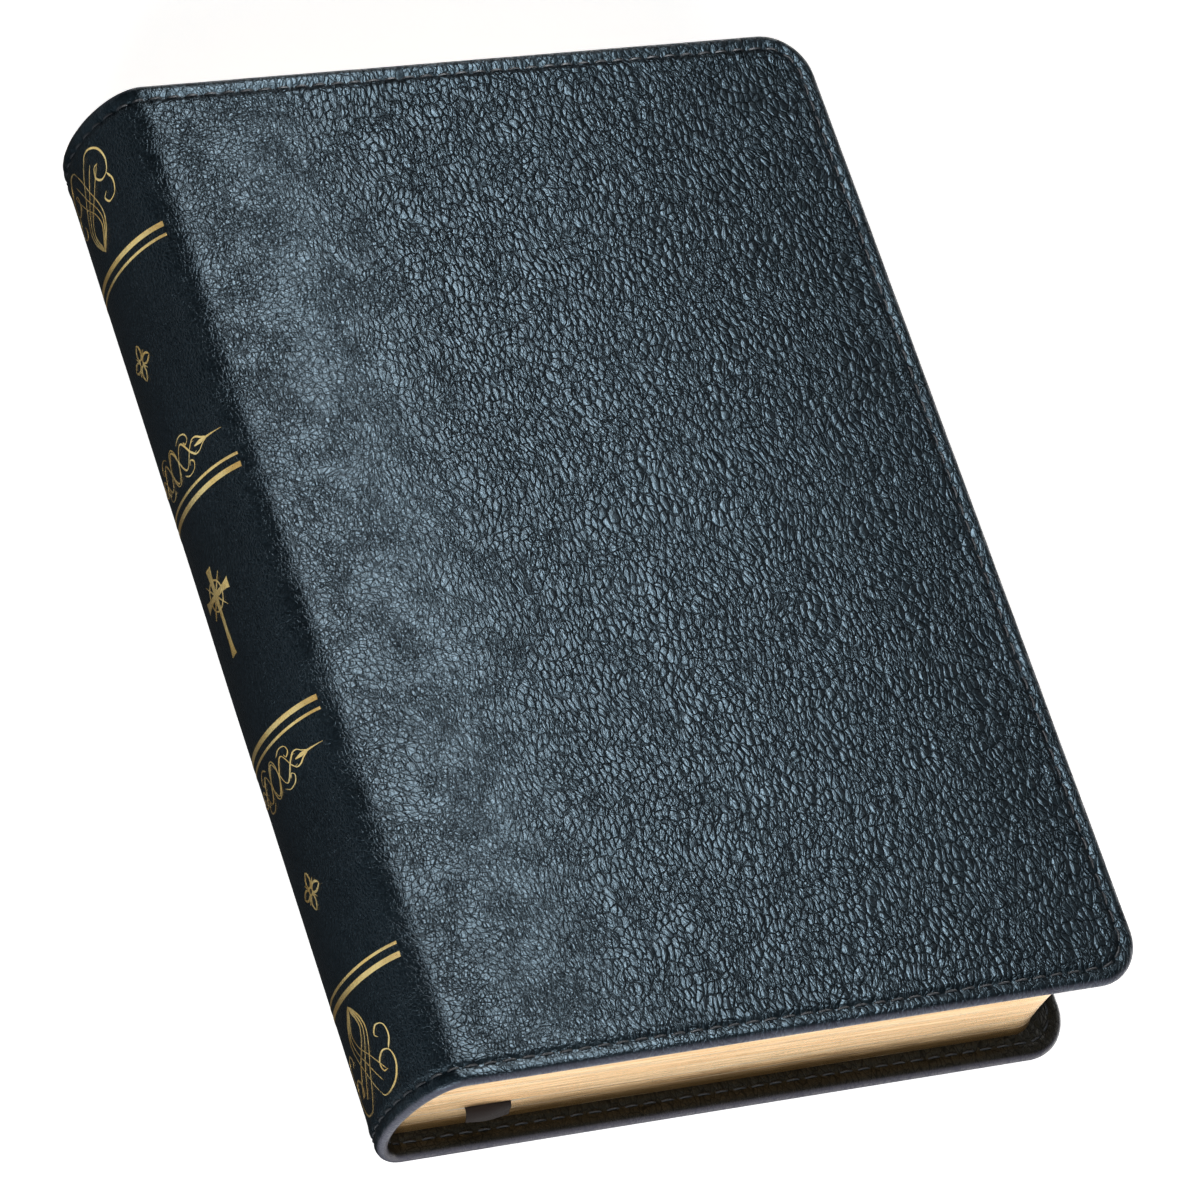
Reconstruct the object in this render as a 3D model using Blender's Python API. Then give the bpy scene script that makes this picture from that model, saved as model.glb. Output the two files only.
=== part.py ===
"""Leather-bound book: a flexible stitched case around a sewn, gilt-edged book block.

Metres, +Z up. The book lies on its back cover with the spine along Y on the -X
side and the head (top of the pages) towards +Y. Local book coordinates below are
in millimetres from the back of the spine (x), the tail (y) and the outer face of
the back cover (z); the function place() moves them to the model's frame, whose
origin is the middle of the back cover's outer face.
"""
import math

import bmesh
import bpy
from mathutils import Vector

# ---------------------------------------------------------------- dimensions, mm
HEIGHT = 220.0  # along the spine
WIDTH = 160.0  # spine back to fore-edge of the covers
THICK = 38.0  # both covers and the block
MID_Z = THICK / 2

COVER_T = 3.0  # each finished cover
SKIN_T = 1.1  # leather on the outside of a cover
HEM_W = 9.3  # turned-in hem
CORNER_R = 10.5  # cover corners at the fore-edge
COVER_X0 = 10.2  # where a cover leaves its joint strip
JOINT_X1 = 9.9  # where a joint strip ends
BOARD_T = 0.6
LINING_T = 0.75

SPINE_A = 10.0  # the rounded back is half an ellipse: depth
SPINE_B = MID_Z  # and half height
SPINE_SKIN = 1.3
SPINE_HEM = 2.25  # leather turned in at head and tail
SPINE_HEM_W = 9.0
FLEX_LOW_Z = 4.65  # flex lines, where the joint strips meet the spine strip
FLEX_HIGH_Z = THICK - FLEX_LOW_Z
FLEX_GAP = 0.3
FOIL_RELIEF = 0.25  # the spine leather sits this far inside the foil's face

STITCH_INSET = 3.4  # from the edge of the leather
STITCH_GROOVE_W = 0.8
STITCH_GROOVE_D = 0.6
THREAD_R = 0.2

BLOCK_Y0, BLOCK_Y1 = 5.3, 214.7
BLOCK_LOW, BLOCK_HIGH = 3.15, THICK - 3.15
BLOCK_A, BLOCK_B = 6.4, 16.2  # rounding of the block's back
FORE_X, FORE_HOLLOW = 153.6, 2.6  # fore-edge of the block and its hollow
PAGE_R = 6.0
FLYLEAF_T = 0.3
LEAF_T = 0.4
PAPER_GAP = 0.3
SIGNATURES_PER_HALF = 4
LEAF_X0 = 4.2

RIBBON_W, RIBBON_T = 10.0, 0.35
HINGE_X = 3.4  # flex line axes of the spine
COVER_HINGE_X = 10.0
FRONT_COVER_HINGE_Z = THICK + 0.5
BACK_COVER_HINGE_Z = -2.3

# rules on the spine: height above the tail and width of each line
RULES = {
    "spine_rule_1": (189.1, 1.15),
    "spine_rule_2": (186.7, 0.6),
    "spine_rule_3": (137.1, 0.6),
    "spine_rule_4": (134.7, 1.15),
    "spine_rule_5": (83.4, 1.15),
    "spine_rule_6": (81.0, 0.6),
    "spine_rule_7": (30.9, 0.6),
    "spine_rule_8": (28.5, 1.15),
}
CROSS_Y, CROSS_H, CROSS_W, CROSS_BAR = 111.5, 19.0, 12.0, 2.0
UPPER_MARK_Y, LOWER_MARK_Y = 167.5, 50.7
MARK_R = 4.0

MM = 0.001


def place(p):
    """Millimetres in the book's own coordinates to metres in the model's frame."""
    return Vector(((p[0] - WIDTH / 2) * MM, (p[1] - HEIGHT / 2) * MM, p[2] * MM))


# ---------------------------------------------------------------- clean start
for old in list(bpy.data.objects):
    bpy.data.objects.remove(old, do_unlink=True)

scene = bpy.context.scene


def material(name, colour, roughness, metallic=0.0):
    mat = bpy.data.materials.new(name)
    mat.use_nodes = True
    shader = mat.node_tree.nodes["Principled BSDF"]
    shader.inputs["Base Color"].default_value = (*colour, 1.0)
    shader.inputs["Roughness"].default_value = roughness
    shader.inputs["Metallic"].default_value = metallic
    return mat


LEATHER = (0.012, 0.02, 0.028)
COLOURS = {
    "leather": (LEATHER, 0.5, 0.0),
    "board": ((0.32, 0.3, 0.27), 0.9, 0.0),
    "lining": ((0.03, 0.024, 0.012), 0.35, 0.0),
    "thread": ((0.01, 0.014, 0.02), 0.6, 0.0),
    "paper": ((0.86, 0.81, 0.68), 0.85, 0.0),
    "gilt": ((0.8, 0.55, 0.3), 0.35, 0.6),
    "linen": ((0.75, 0.72, 0.63), 0.9, 0.0),
    "foil": ((0.85, 0.62, 0.26), 0.25, 1.0),
    "ribbon": ((0.05, 0.04, 0.04), 0.6, 0.0),
}


# ---------------------------------------------------------------- joint axes
def axis_empty(name, x, z, parent=None):
    """An empty on a hinge line; the pieces that turn there are parented to it."""
    empty = bpy.data.objects.new(name, None)
    empty.empty_display_size = 0.01
    scene.collection.objects.link(empty)
    where = place((x, HEIGHT / 2, z))
    if parent is not None:
        empty.parent = parent
        where = where - world_of[parent.name]
    empty.location = where
    world_of[name] = place((x, HEIGHT / 2, z))
    return empty


world_of = {}
BODIES = {"back_block": axis_empty("axis_root", WIDTH / 2, 0)}
BODIES["spine"] = axis_empty("axis_book_opening", HINGE_X, 4.4, BODIES["back_block"])
BODIES["front_block"] = axis_empty(
    "axis_spine_front_flex", HINGE_X, THICK - 4.4, BODIES["spine"]
)
BODIES["front_cover"] = axis_empty(
    "axis_front_cover", COVER_HINGE_X, FRONT_COVER_HINGE_Z, BODIES["front_block"]
)
BODIES["back_cover"] = axis_empty(
    "axis_back_cover", COVER_HINGE_X, BACK_COVER_HINGE_Z, BODIES["back_block"]
)
BODIES["leaf_1"] = axis_empty(
    "axis_leaf_1", LEAF_X0 - 0.2, MID_Z + 0.35, BODIES["spine"]
)
BODIES["leaf_2"] = axis_empty(
    "axis_leaf_2", LEAF_X0 - 0.2, MID_Z - 0.35, BODIES["spine"]
)


def finish_mesh(bm, name, body, look, smooth_angle=35):
    """bm holds the shape in book millimetres: it becomes an object of that body."""
    parent = BODIES[body]
    origin = world_of[parent.name]
    for v in bm.verts:
        v.co = place(v.co) - origin
    bmesh.ops.recalc_face_normals(bm, faces=bm.faces)
    mesh = bpy.data.meshes.new(name)
    bm.to_mesh(mesh)
    bm.free()
    mesh.shade_smooth()
    mesh.set_sharp_from_angle(angle=math.radians(smooth_angle))
    obj = bpy.data.objects.new(name, mesh)
    scene.collection.objects.link(obj)
    obj.parent = parent
    colour, roughness, metallic = COLOURS[look]
    mesh.materials.append(material("mat_" + name, colour, roughness, metallic))
    return obj


def loft(name, rings, body, look, smooth_angle=35):
    """A closed body through rings of equal point counts, capped at both ends."""
    bm = bmesh.new()
    rows = [[bm.verts.new(p) for p in ring] for ring in rings]
    count = len(rows[0])
    for a, b in zip(rows, rows[1:]):
        for i in range(count):
            j = (i + 1) % count
            bm.faces.new((a[i], a[j], b[j], b[i]))
    caps = [bm.faces.new(rows[0][::-1]), bm.faces.new(rows[-1])]
    bmesh.ops.triangulate(bm, faces=caps)
    return finish_mesh(bm, name, body, look, smooth_angle)


def cut(obj, cutter):
    """Takes the cutter's shape out of obj, and hides the cutter."""
    cutter.hide_render = True
    cutter.display_type = "WIRE"
    modifier = obj.modifiers.new("cut_" + cutter.name, "BOOLEAN")
    modifier.operation = "DIFFERENCE"
    modifier.solver = "EXACT"
    modifier.object = cutter


def arc(cx, cy, r, a0, a1, steps):
    """Points of an arc, angles in degrees."""
    out = []
    for i in range(steps + 1):
        a = math.radians(a0 + (a1 - a0) * i / steps)
        out.append((cx + r * math.cos(a), cy + r * math.sin(a)))
    return out


def cover_outline(inset, x0, x_inset=None, steps=6):
    """Outline of a cover, `inset` in from its three free edges, starting at x0."""
    r = max(CORNER_R - inset, 0.8)
    x1, y0, y1 = WIDTH - inset, inset, HEIGHT - inset
    return (
        [(x0, y0)]
        + arc(x1 - r, y0 + r, r, -90, 0, steps)
        + arc(x1 - r, y1 - r, r, 0, 90, steps)
        + [(x0, y1)]
    )


def spine_arc(off_a, phi0, phi1, steps):
    """Points (x, z) of the spine's ellipse, off_a in from the outer face."""
    a, b = SPINE_A - off_a, SPINE_B - off_a
    out = []
    for i in range(steps + 1):
        p = phi0 + (phi1 - phi0) * i / steps
        out.append((SPINE_A - a * math.cos(p), MID_Z + b * math.sin(p)))
    return out


def spine_phi(off_a, z):
    return math.asin((z - MID_Z) / (SPINE_B - off_a))


def spine_x(off_a, z):
    a, b = SPINE_A - off_a, SPINE_B - off_a
    return SPINE_A - a * math.sqrt(max(0.0, 1 - ((z - MID_Z) / b) ** 2))


def curved_strip(o_out, o_in, z0, z1, steps):
    """Closed XZ section between two offsets of the spine's ellipse, cut level."""
    outer = spine_arc(o_out, spine_phi(o_out, z0), spine_phi(o_out, z1), steps)
    inner = spine_arc(o_in, spine_phi(o_in, z0), spine_phi(o_in, z1), steps)
    return outer + inner[::-1]


def extrude_y(name, section_at, ys, body, look, smooth_angle=35):
    """section_at(y) gives the XZ section at y; the rings run along Y."""
    rings = [[(x, y, z) for x, z in section_at(y)] for y in ys]
    return loft(name, rings, body, look, smooth_angle)


def mirror_z(points):
    return [(x, y, THICK - z) for x, y, z in points]


# ---------------------------------------------------------------- covers
def flipped(front, z):
    """Heights are given for the back cover; the front one is its mirror."""
    return THICK - z if front else z


def make_cover(side):
    front = side == "front"
    body = side + "_cover"

    def rings(levels, x0):
        return [
            [(x, y, flipped(front, z)) for x, y in cover_outline(inset, x0)]
            for z, inset in levels
        ]

    # leather: rounded outer edge, turned-in hem on the inside
    leather = loft(
        f"{side}_cover_leather",
        rings(
            [
                (0.0, 0.95),
                (0.28, 0.3),
                (0.9, 0.0),
                (2.1, 0.0),
                (2.75, 0.25),
                (3.0, 0.8),
            ],
            COVER_X0,
        ),
        body,
        "leather",
    )
    pocket = loft(
        f"cutter_{side}_pocket",
        rings([(SKIN_T, 1.5), (SKIN_T + 0.9, 1.5)], COVER_X0 + 1.5),
        body,
        "leather",
    )
    window = loft(
        f"cutter_{side}_window",
        rings([(SKIN_T + 0.5, HEM_W), (COVER_T + 1.0, HEM_W)], COVER_X0 + 2.3),
        body,
        "leather",
    )
    cut(leather, pocket)
    cut(leather, window)
    # stitch groove: a C-shaped channel along the three free edges
    half = STITCH_GROOVE_W / 2
    outline = cover_outline(STITCH_INSET - half, COVER_X0 - 1, steps=8)
    outline += cover_outline(STITCH_INSET + half, COVER_X0 - 1, steps=8)[::-1]
    groove = loft(
        f"cutter_{side}_groove",
        [
            [(x, y, flipped(front, z)) for x, y in outline]
            for z in (-1.0, STITCH_GROOVE_D)
        ],
        body,
        "leather",
    )
    cut(leather, groove)
    loft(
        f"{side}_cover_board",
        rings([(SKIN_T + 0.15, 1.85), (SKIN_T + 0.15 + BOARD_T, 1.85)], COVER_X0 + 1.9),
        body,
        "board",
    )
    z_in = COVER_T - 0.05
    loft(
        f"{side}_cover_lining",
        rings([(z_in - LINING_T, HEM_W + 0.3), (z_in, HEM_W + 0.3)], COVER_X0 + 2.6),
        body,
        "lining",
    )
    # the stitching: one thread laid in the groove
    path = cover_outline(STITCH_INSET, COVER_X0 + 0.2, steps=6)
    z = flipped(front, THREAD_R + 0.06)
    tube(f"{side}_cover_stitching", [(x, y, z) for x, y in path], THREAD_R, body, "thread")


def tube(name, points, radius, body, look):
    """A thread: a poly curve with a round bevel and filled caps."""
    parent = BODIES[body]
    origin = world_of[parent.name]
    curve = bpy.data.curves.new(name, "CURVE")
    curve.dimensions = "3D"
    curve.bevel_depth = radius * MM
    curve.bevel_resolution = 1
    curve.use_fill_caps = True
    spline = curve.splines.new("POLY")
    spline.points.add(len(points) - 1)
    for i, p in enumerate(points):
        spline.points[i].co = (*(place(p) - origin), 1.0)
    obj = bpy.data.objects.new(name, curve)
    scene.collection.objects.link(obj)
    obj.parent = parent
    colour, roughness, metallic = COLOURS[look]
    curve.materials.append(material("mat_" + name, colour, roughness, metallic))
    return obj


for side in ("back", "front"):
    make_cover(side)


# ---------------------------------------------------------------- joint strips
def joint_section(front, off_in):
    """The shoulder strip from the flex line to the cover, as an XZ section."""

    def to_edge(off, steps=9):
        a = SPINE_A - off
        end = -math.acos((SPINE_A - JOINT_X1) / a)
        return spine_arc(off, end, spine_phi(off, FLEX_LOW_Z - FLEX_GAP / 2), steps)

    outer, inner = to_edge(0.0), to_edge(off_in)
    pts = outer + inner[::-1]
    return [(x, flipped(front, z)) for x, z in pts]


def with_hems(y, thin, thick, low, high):
    return thick if (y <= low or y >= high) else thin


HEM_STEP = 0.25
HEM_YS = (
    0.0,
    SPINE_HEM_W,
    SPINE_HEM_W + HEM_STEP,
    HEIGHT - SPINE_HEM_W - HEM_STEP,
    HEIGHT - SPINE_HEM_W,
    HEIGHT,
)
for side in ("back", "front"):
    is_front = side == "front"
    thin, thick = (joint_section(is_front, o) for o in (SPINE_SKIN, SPINE_HEM))
    extrude_y(
        f"{side}_joint_leather",
        lambda y, thin=thin, thick=thick: with_hems(
            y, thin, thick, SPINE_HEM_W, HEIGHT - SPINE_HEM_W
        ),
        HEM_YS,
        side + "_block",
        "leather",
    )

# ---------------------------------------------------------------- spine
SPINE_LOW = FLEX_LOW_Z + FLEX_GAP / 2
SPINE_HIGH = THICK - SPINE_LOW
GROOVE_OUT = FOIL_RELIEF + STITCH_GROOVE_D


def spine_rows():
    """Stations along the spine leather at one end: height, outer and inner offset."""
    g0 = STITCH_INSET - STITCH_GROOVE_W / 2
    g1 = STITCH_INSET + STITCH_GROOVE_W / 2
    return [
        (0.0, FOIL_RELIEF + 0.5, SPINE_HEM),
        (0.45, FOIL_RELIEF, SPINE_HEM),
        (g0, FOIL_RELIEF, SPINE_HEM),
        (g0, GROOVE_OUT, SPINE_HEM),
        (g1, GROOVE_OUT, SPINE_HEM),
        (g1, FOIL_RELIEF, SPINE_HEM),
        (SPINE_HEM_W, FOIL_RELIEF, SPINE_HEM),
        (SPINE_HEM_W + HEM_STEP, FOIL_RELIEF, SPINE_SKIN),
    ]


tail_rows = spine_rows()
head_rows = [(HEIGHT - y, out, inn) for y, out, inn in tail_rows[::-1]]
spine_rings = []
for y, out, inn in tail_rows + head_rows:
    section = curved_strip(out, inn, SPINE_LOW, SPINE_HIGH, 20)
    spine_rings.append([(x, y, z) for x, z in section])
loft("spine_leather", spine_rings, "spine", "leather")

for end, y_mid in (("tail", STITCH_INSET), ("head", HEIGHT - STITCH_INSET)):
    off = FOIL_RELIEF + THREAD_R + 0.08
    z0, z1 = SPINE_LOW + 0.3, SPINE_HIGH - 0.3
    line = spine_arc(off, spine_phi(off, z0), spine_phi(off, z1), 16)
    tube(
        f"spine_{end}_stitching",
        [(x, y_mid, z) for x, z in line],
        THREAD_R,
        "spine",
        "thread",
    )

STIFF_Y0, STIFF_Y1 = SPINE_HEM_W + 0.8, HEIGHT - SPINE_HEM_W - 0.8
stiff = curved_strip(SPINE_SKIN + 0.2, SPINE_SKIN + 0.8, 8.0, THICK - 8.0, 14)
extrude_y("spine_stiffener", lambda y: stiff, (STIFF_Y0, STIFF_Y1), "spine", "board")
mull = curved_strip(SPINE_SKIN + 1.0, SPINE_SKIN + 1.35, 7.0, THICK - 7.0, 14)
extrude_y("spine_mull", lambda y: mull, (STIFF_Y0, STIFF_Y1), "spine", "linen")

# ---------------------------------------------------------------- foil on the spine
FOIL_OUT, FOIL_IN = 0.02, FOIL_RELIEF - 0.05
FOIL_Z0 = SPINE_LOW + 0.3


def foil_cells(name, zs, ys, inside):
    """A thin foil shape on the spine, made of the cells of a z by y grid."""
    bm = bmesh.new()
    made = {}

    def vert(i, j, off):
        key = (i, j, off)
        if key not in made:
            made[key] = bm.verts.new((spine_x(off, zs[i]), ys[j], zs[i]))
        return made[key]

    cells = {
        (i, j)
        for i in range(len(zs) - 1)
        for j in range(len(ys) - 1)
        if inside((zs[i] + zs[i + 1]) / 2, (ys[j] + ys[j + 1]) / 2)
    }
    for i, j in cells:
        corners = ((i, j), (i + 1, j), (i + 1, j + 1), (i, j + 1))
        bm.faces.new([vert(a, b, FOIL_OUT) for a, b in corners])
        bm.faces.new([vert(a, b, FOIL_IN) for a, b in corners[::-1]])
        for side_, step in enumerate(((0, -1), (1, 0), (0, 1), (-1, 0))):
            if (i + step[0], j + step[1]) not in cells:
                p, q = corners[side_], corners[(side_ + 1) % 4]
                bm.faces.new(
                    (
                        vert(*p, FOIL_IN),
                        vert(*q, FOIL_IN),
                        vert(*q, FOIL_OUT),
                        vert(*p, FOIL_OUT),
                    )
                )
    return finish_mesh(bm, name, "spine", "foil")


def spread(lo, hi, n):
    return [lo + (hi - lo) * i / n for i in range(n + 1)]


phi_0 = math.asin((FOIL_Z0 - MID_Z) / MID_Z)
rule_zs = [MID_Z + MID_Z * math.sin(phi) for phi in spread(phi_0, -phi_0, 22)]
for name, (y_mid, width) in RULES.items():
    foil_cells(
        name, rule_zs, [y_mid - width / 2, y_mid + width / 2], lambda z, y: True
    )


bar = CROSS_BAR / 2
zs = (
    spread(MID_Z - CROSS_W / 2, MID_Z - bar, 5)
    + [MID_Z]
    + spread(MID_Z + bar, MID_Z + CROSS_W / 2, 5)
)
arm_y = CROSS_Y + CROSS_H * 0.19
ys = [CROSS_Y - CROSS_H / 2, arm_y - bar, arm_y + bar, CROSS_Y + CROSS_H / 2]
foil_cells(
    "spine_cross",
    zs,
    ys,
    lambda z, y: abs(z - MID_Z) < bar or abs(y - arm_y) < bar,
)


def foil_rosette(name, y_mid):
    """A small four-petal ornament: radius waves between the points and the waist."""
    bm = bmesh.new()
    count, rows = 24, 3
    layers = []
    for off in (FOIL_OUT, FOIL_IN):
        centre = bm.verts.new((spine_x(off, MID_Z), y_mid, MID_Z))
        rings = []
        for k in range(1, rows + 1):
            ring = []
            for i in range(count):
                a = 2 * math.pi * i / count
                r = MARK_R * (0.68 + 0.32 * math.cos(4 * a)) * k / rows
                z = MID_Z + r * math.sin(a)
                ring.append(bm.verts.new((spine_x(off, z), y_mid + r * math.cos(a), z)))
            rings.append(ring)
        for i in range(count):
            j = (i + 1) % count
            bm.faces.new((centre, rings[0][i], rings[0][j]))
            for a_, b_ in zip(rings, rings[1:]):
                bm.faces.new((a_[i], b_[i], b_[j], a_[j]))
        layers.append(rings[-1])
    for i in range(count):
        j = (i + 1) % count
        bm.faces.new((layers[0][i], layers[0][j], layers[1][j], layers[1][i]))
    return finish_mesh(bm, name, "spine", "foil")


foil_rosette("spine_upper_ornament", UPPER_MARK_Y)
foil_rosette("spine_lower_ornament", LOWER_MARK_Y)


# ---------------------------------------------------------------- book block
def block_x0(z):
    return SPINE_A - BLOCK_A * math.sqrt(max(0.0, 1 - ((z - MID_Z) / BLOCK_B) ** 2))


def block_x1(z):
    return FORE_X - FORE_HOLLOW * math.sqrt(max(0.0, 1 - ((z - MID_Z) / BLOCK_B) ** 2))


def page_outline(x0, x1, steps=5):
    r = PAGE_R
    return (
        [(x0, BLOCK_Y0)]
        + arc(x1 - r, BLOCK_Y0 + r, r, -90, 0, steps)
        + arc(x1 - r, BLOCK_Y1 - r, r, 0, 90, steps)
        + [(x0, BLOCK_Y1)]
    )


def sheets(name, z0, z1, body, look="paper", levels=4, x0=None):
    rings = []
    for z in spread(z0, z1, levels):
        start = block_x0(z) if x0 is None else x0
        rings.append([(x, y, z) for x, y in page_outline(start, block_x1(z))])
    return loft(name, rings, body, look)


half_low = BLOCK_LOW + FLYLEAF_T + 0.2
half_high = MID_Z - 0.35 - LEAF_T / 2 - PAPER_GAP
ribbon_room = 0.5  # between the third and the second gathering of the back half
each = (half_high - half_low - (SIGNATURES_PER_HALF - 1) * PAPER_GAP - ribbon_room) / (
    SIGNATURES_PER_HALF
)
ribbon_z = None
for side in ("back", "front"):
    z = half_low
    for k in range(SIGNATURES_PER_HALF):
        number = 8 - k if side == "back" else 1 + k
        lo, hi = z, z + each
        if side == "front":
            lo, hi = THICK - hi, THICK - lo
        sheets(f"signature_{number}", lo, hi, side + "_block", "paper", 2)
        z += each + PAPER_GAP
        if k == 1:
            if side == "back":
                ribbon_z = z - PAPER_GAP + (PAPER_GAP + ribbon_room) / 2
            z += ribbon_room
    lo, hi = BLOCK_LOW, BLOCK_LOW + FLYLEAF_T
    if side == "front":
        lo, hi = THICK - hi, THICK - lo
    sheets(f"{side}_flyleaf", lo, hi, side + "_block", "paper", 1)

for name, z_mid in (("leaf_1", MID_Z + 0.35), ("leaf_2", MID_Z - 0.35)):
    sheets(
        name, z_mid - LEAF_T / 2, z_mid + LEAF_T / 2, name, "paper", 1, x0=LEAF_X0
    )

# sewing thread: across the folded backs of the gatherings, station by station
for side in ("back", "front"):
    points = []
    stations = (22.0, 60.0, 110.0, 160.0, 198.0)
    lo, hi = 8.2, 17.6
    for k, y in enumerate(stations):
        run = spread(lo, hi, 4)
        if k % 2:
            run = run[::-1]
        for z in run:
            points.append((block_x0(z) - 0.26, y, flipped(side == "front", z)))
    tube(f"{side}_sewing_thread", points, 0.11, side + "_block", "linen")

# ribbon marker: from the back of the block down between two gatherings, its end
# showing at the tail, where it droops
RIBBON_PATH = (
    (12.8, 213.6, 0.0),
    (15.6, 160.0, 0.0),
    (19.0, 100.0, 0.0),
    (23.2, 40.0, 0.0),
    (26.2, 6.2, 0.0),
    (26.4, 4.6, -0.25),
    (26.5, 3.4, -0.9),
    (26.6, 2.4, -1.8),
)
rings = []
for k, (x, y, dz) in enumerate(RIBBON_PATH):
    w = RIBBON_W / 2
    z = ribbon_z + dz
    t = RIBBON_T / 2
    rings.append(
        [(x - w, y, z - t), (x + w, y, z - t), (x + w, y, z + t), (x - w, y, z + t)]
    )
loft("ribbon_marker", rings, "back_block", "ribbon")

bpy.context.view_layer.update()
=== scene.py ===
"""Looks of the leather-bound book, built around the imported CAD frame.

Book coordinates below are millimetres: x from the back of the spine, y from the
tail, z from the outer face of the back cover. world() puts them in the frame.
"""
import math

import bpy
import numpy as np
from mathutils import Matrix, Vector

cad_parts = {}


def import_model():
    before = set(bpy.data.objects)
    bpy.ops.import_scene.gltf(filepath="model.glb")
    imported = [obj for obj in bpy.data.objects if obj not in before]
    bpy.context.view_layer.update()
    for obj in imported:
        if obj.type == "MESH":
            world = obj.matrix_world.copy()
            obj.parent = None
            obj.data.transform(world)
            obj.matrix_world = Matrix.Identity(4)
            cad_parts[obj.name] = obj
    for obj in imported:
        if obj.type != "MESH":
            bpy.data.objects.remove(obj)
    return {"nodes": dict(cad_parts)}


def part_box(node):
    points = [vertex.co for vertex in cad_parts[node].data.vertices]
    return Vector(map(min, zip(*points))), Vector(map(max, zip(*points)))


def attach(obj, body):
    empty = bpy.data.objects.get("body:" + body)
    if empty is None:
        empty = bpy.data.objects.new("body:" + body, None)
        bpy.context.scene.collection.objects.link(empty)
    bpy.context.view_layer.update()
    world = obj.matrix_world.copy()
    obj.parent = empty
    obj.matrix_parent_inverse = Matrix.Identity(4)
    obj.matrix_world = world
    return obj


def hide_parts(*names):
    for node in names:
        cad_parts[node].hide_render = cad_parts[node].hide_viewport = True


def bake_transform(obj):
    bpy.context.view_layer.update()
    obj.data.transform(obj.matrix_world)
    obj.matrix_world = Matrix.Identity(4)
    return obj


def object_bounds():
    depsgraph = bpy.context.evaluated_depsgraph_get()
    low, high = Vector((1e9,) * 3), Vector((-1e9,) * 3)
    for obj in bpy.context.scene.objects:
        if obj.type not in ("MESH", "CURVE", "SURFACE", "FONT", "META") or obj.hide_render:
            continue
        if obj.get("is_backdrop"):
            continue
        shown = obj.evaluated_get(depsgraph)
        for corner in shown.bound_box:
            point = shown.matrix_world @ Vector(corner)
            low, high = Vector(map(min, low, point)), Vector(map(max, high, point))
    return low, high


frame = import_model()
cad_lo, cad_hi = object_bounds()
SIZE = [(b - a) * 1000 for a, b in zip(cad_lo, cad_hi)]
W, H, T = round(SIZE[0], 1), round(SIZE[1], 1), round(SIZE[2], 1)
MID = T / 2
rng = np.random.default_rng(11)

A_SPINE, B_SPINE = 10.0, MID
X_SEAM = 10.0
CORNER = 10.5
COVER_T = 3.0
STITCH = 3.4
HEM = 9.3
MM = 0.001
SINK = 0.26  # the leather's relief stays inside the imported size


def world(p):
    """Book millimetres (n x 3) to frame metres."""
    p = np.asarray(p, float)
    out = np.empty_like(p)
    out[..., 0] = (p[..., 0] - W / 2) * MM
    out[..., 1] = (p[..., 1] - H / 2) * MM
    out[..., 2] = p[..., 2] * MM
    return out


def wpt(x, y, z):
    return tuple(float(c) for c in world([x, y, z]))


def smooth(v, a, b):
    t = np.clip((np.asarray(v, float) - a) / (b - a), 0, 1)
    return t * t * (3 - 2 * t)


# ------------------------------------------------------------------ section curve
def section_table(n=2400):
    phi = np.linspace(-math.pi / 2, math.pi / 2, n)
    ex, ez = A_SPINE - A_SPINE * np.cos(phi), MID + B_SPINE * np.sin(phi)
    nx, nz = -np.cos(phi) / A_SPINE, np.sin(phi) / B_SPINE
    ln = np.hypot(nx, nz)
    nx, nz = nx / ln, nz / ln
    seg = np.hypot(np.diff(ex), np.diff(ez))
    s = np.concatenate([[0], np.cumsum(seg)])
    return s, ex, ez, nx, nz


_s, _x, _z, _nx, _nz = section_table()
LE = float(_s[-1])  # length of leather round the spine
S_BACK = W - A_SPINE  # developed position of the lower seam
S_FRONT = S_BACK + LE
S_MID = S_BACK + LE / 2


def curve_at(s):
    """Developed coordinate s -> x, z and outward normal."""
    s = np.asarray(s, float)
    e = np.clip(s - S_BACK, 0, LE)
    x, z = np.interp(e, _s, _x), np.interp(e, _s, _z)
    nx, nz = np.interp(e, _s, _nx), np.interp(e, _s, _nz)
    low, high = s < S_BACK, s > S_FRONT
    x = np.where(low, A_SPINE + (S_BACK - s), np.where(high, A_SPINE + (s - S_FRONT), x))
    return x, z, nx, nz


def s_of_z(z):
    return S_BACK + float(np.interp(z, _z, _s))


# ------------------------------------------------------------------ leather relief
_waves = []
for _ in range(16):
    a = rng.uniform(0, math.pi)
    wl = rng.uniform(24, 75)
    k = 2 * math.pi / wl
    _waves.append((k * math.cos(a), k * math.sin(a), rng.uniform(0, 6.28), wl / 75))


def undulate(s, y):
    out = 0.0
    for kx, ky, ph, amp in _waves:
        out = out + amp * np.sin(kx * s + ky * y + ph)
    return out / 16


def edge_waves(p, k):
    """A soft unevenness along the sewn edges."""
    return (
        np.sin(p * 0.37 + k) * 0.5
        + np.sin(p * 0.171 + 2.1 * k) * 0.7
        + np.sin(p * 0.83 + 0.7 * k) * 0.3
    )


PATH_R = CORNER - STITCH
ARC = PATH_R * math.pi / 2
L1 = W - X_SEAM - CORNER
L2 = H - 2 * CORNER
COVER_PATH = 2 * L1 + 2 * ARC + L2
N_COVER = int(round(COVER_PATH / 4.0))
PITCH_C = COVER_PATH / N_COVER
N_SPINE = int(round(LE / 4.0))
PITCH_S = LE / N_SPINE


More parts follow.
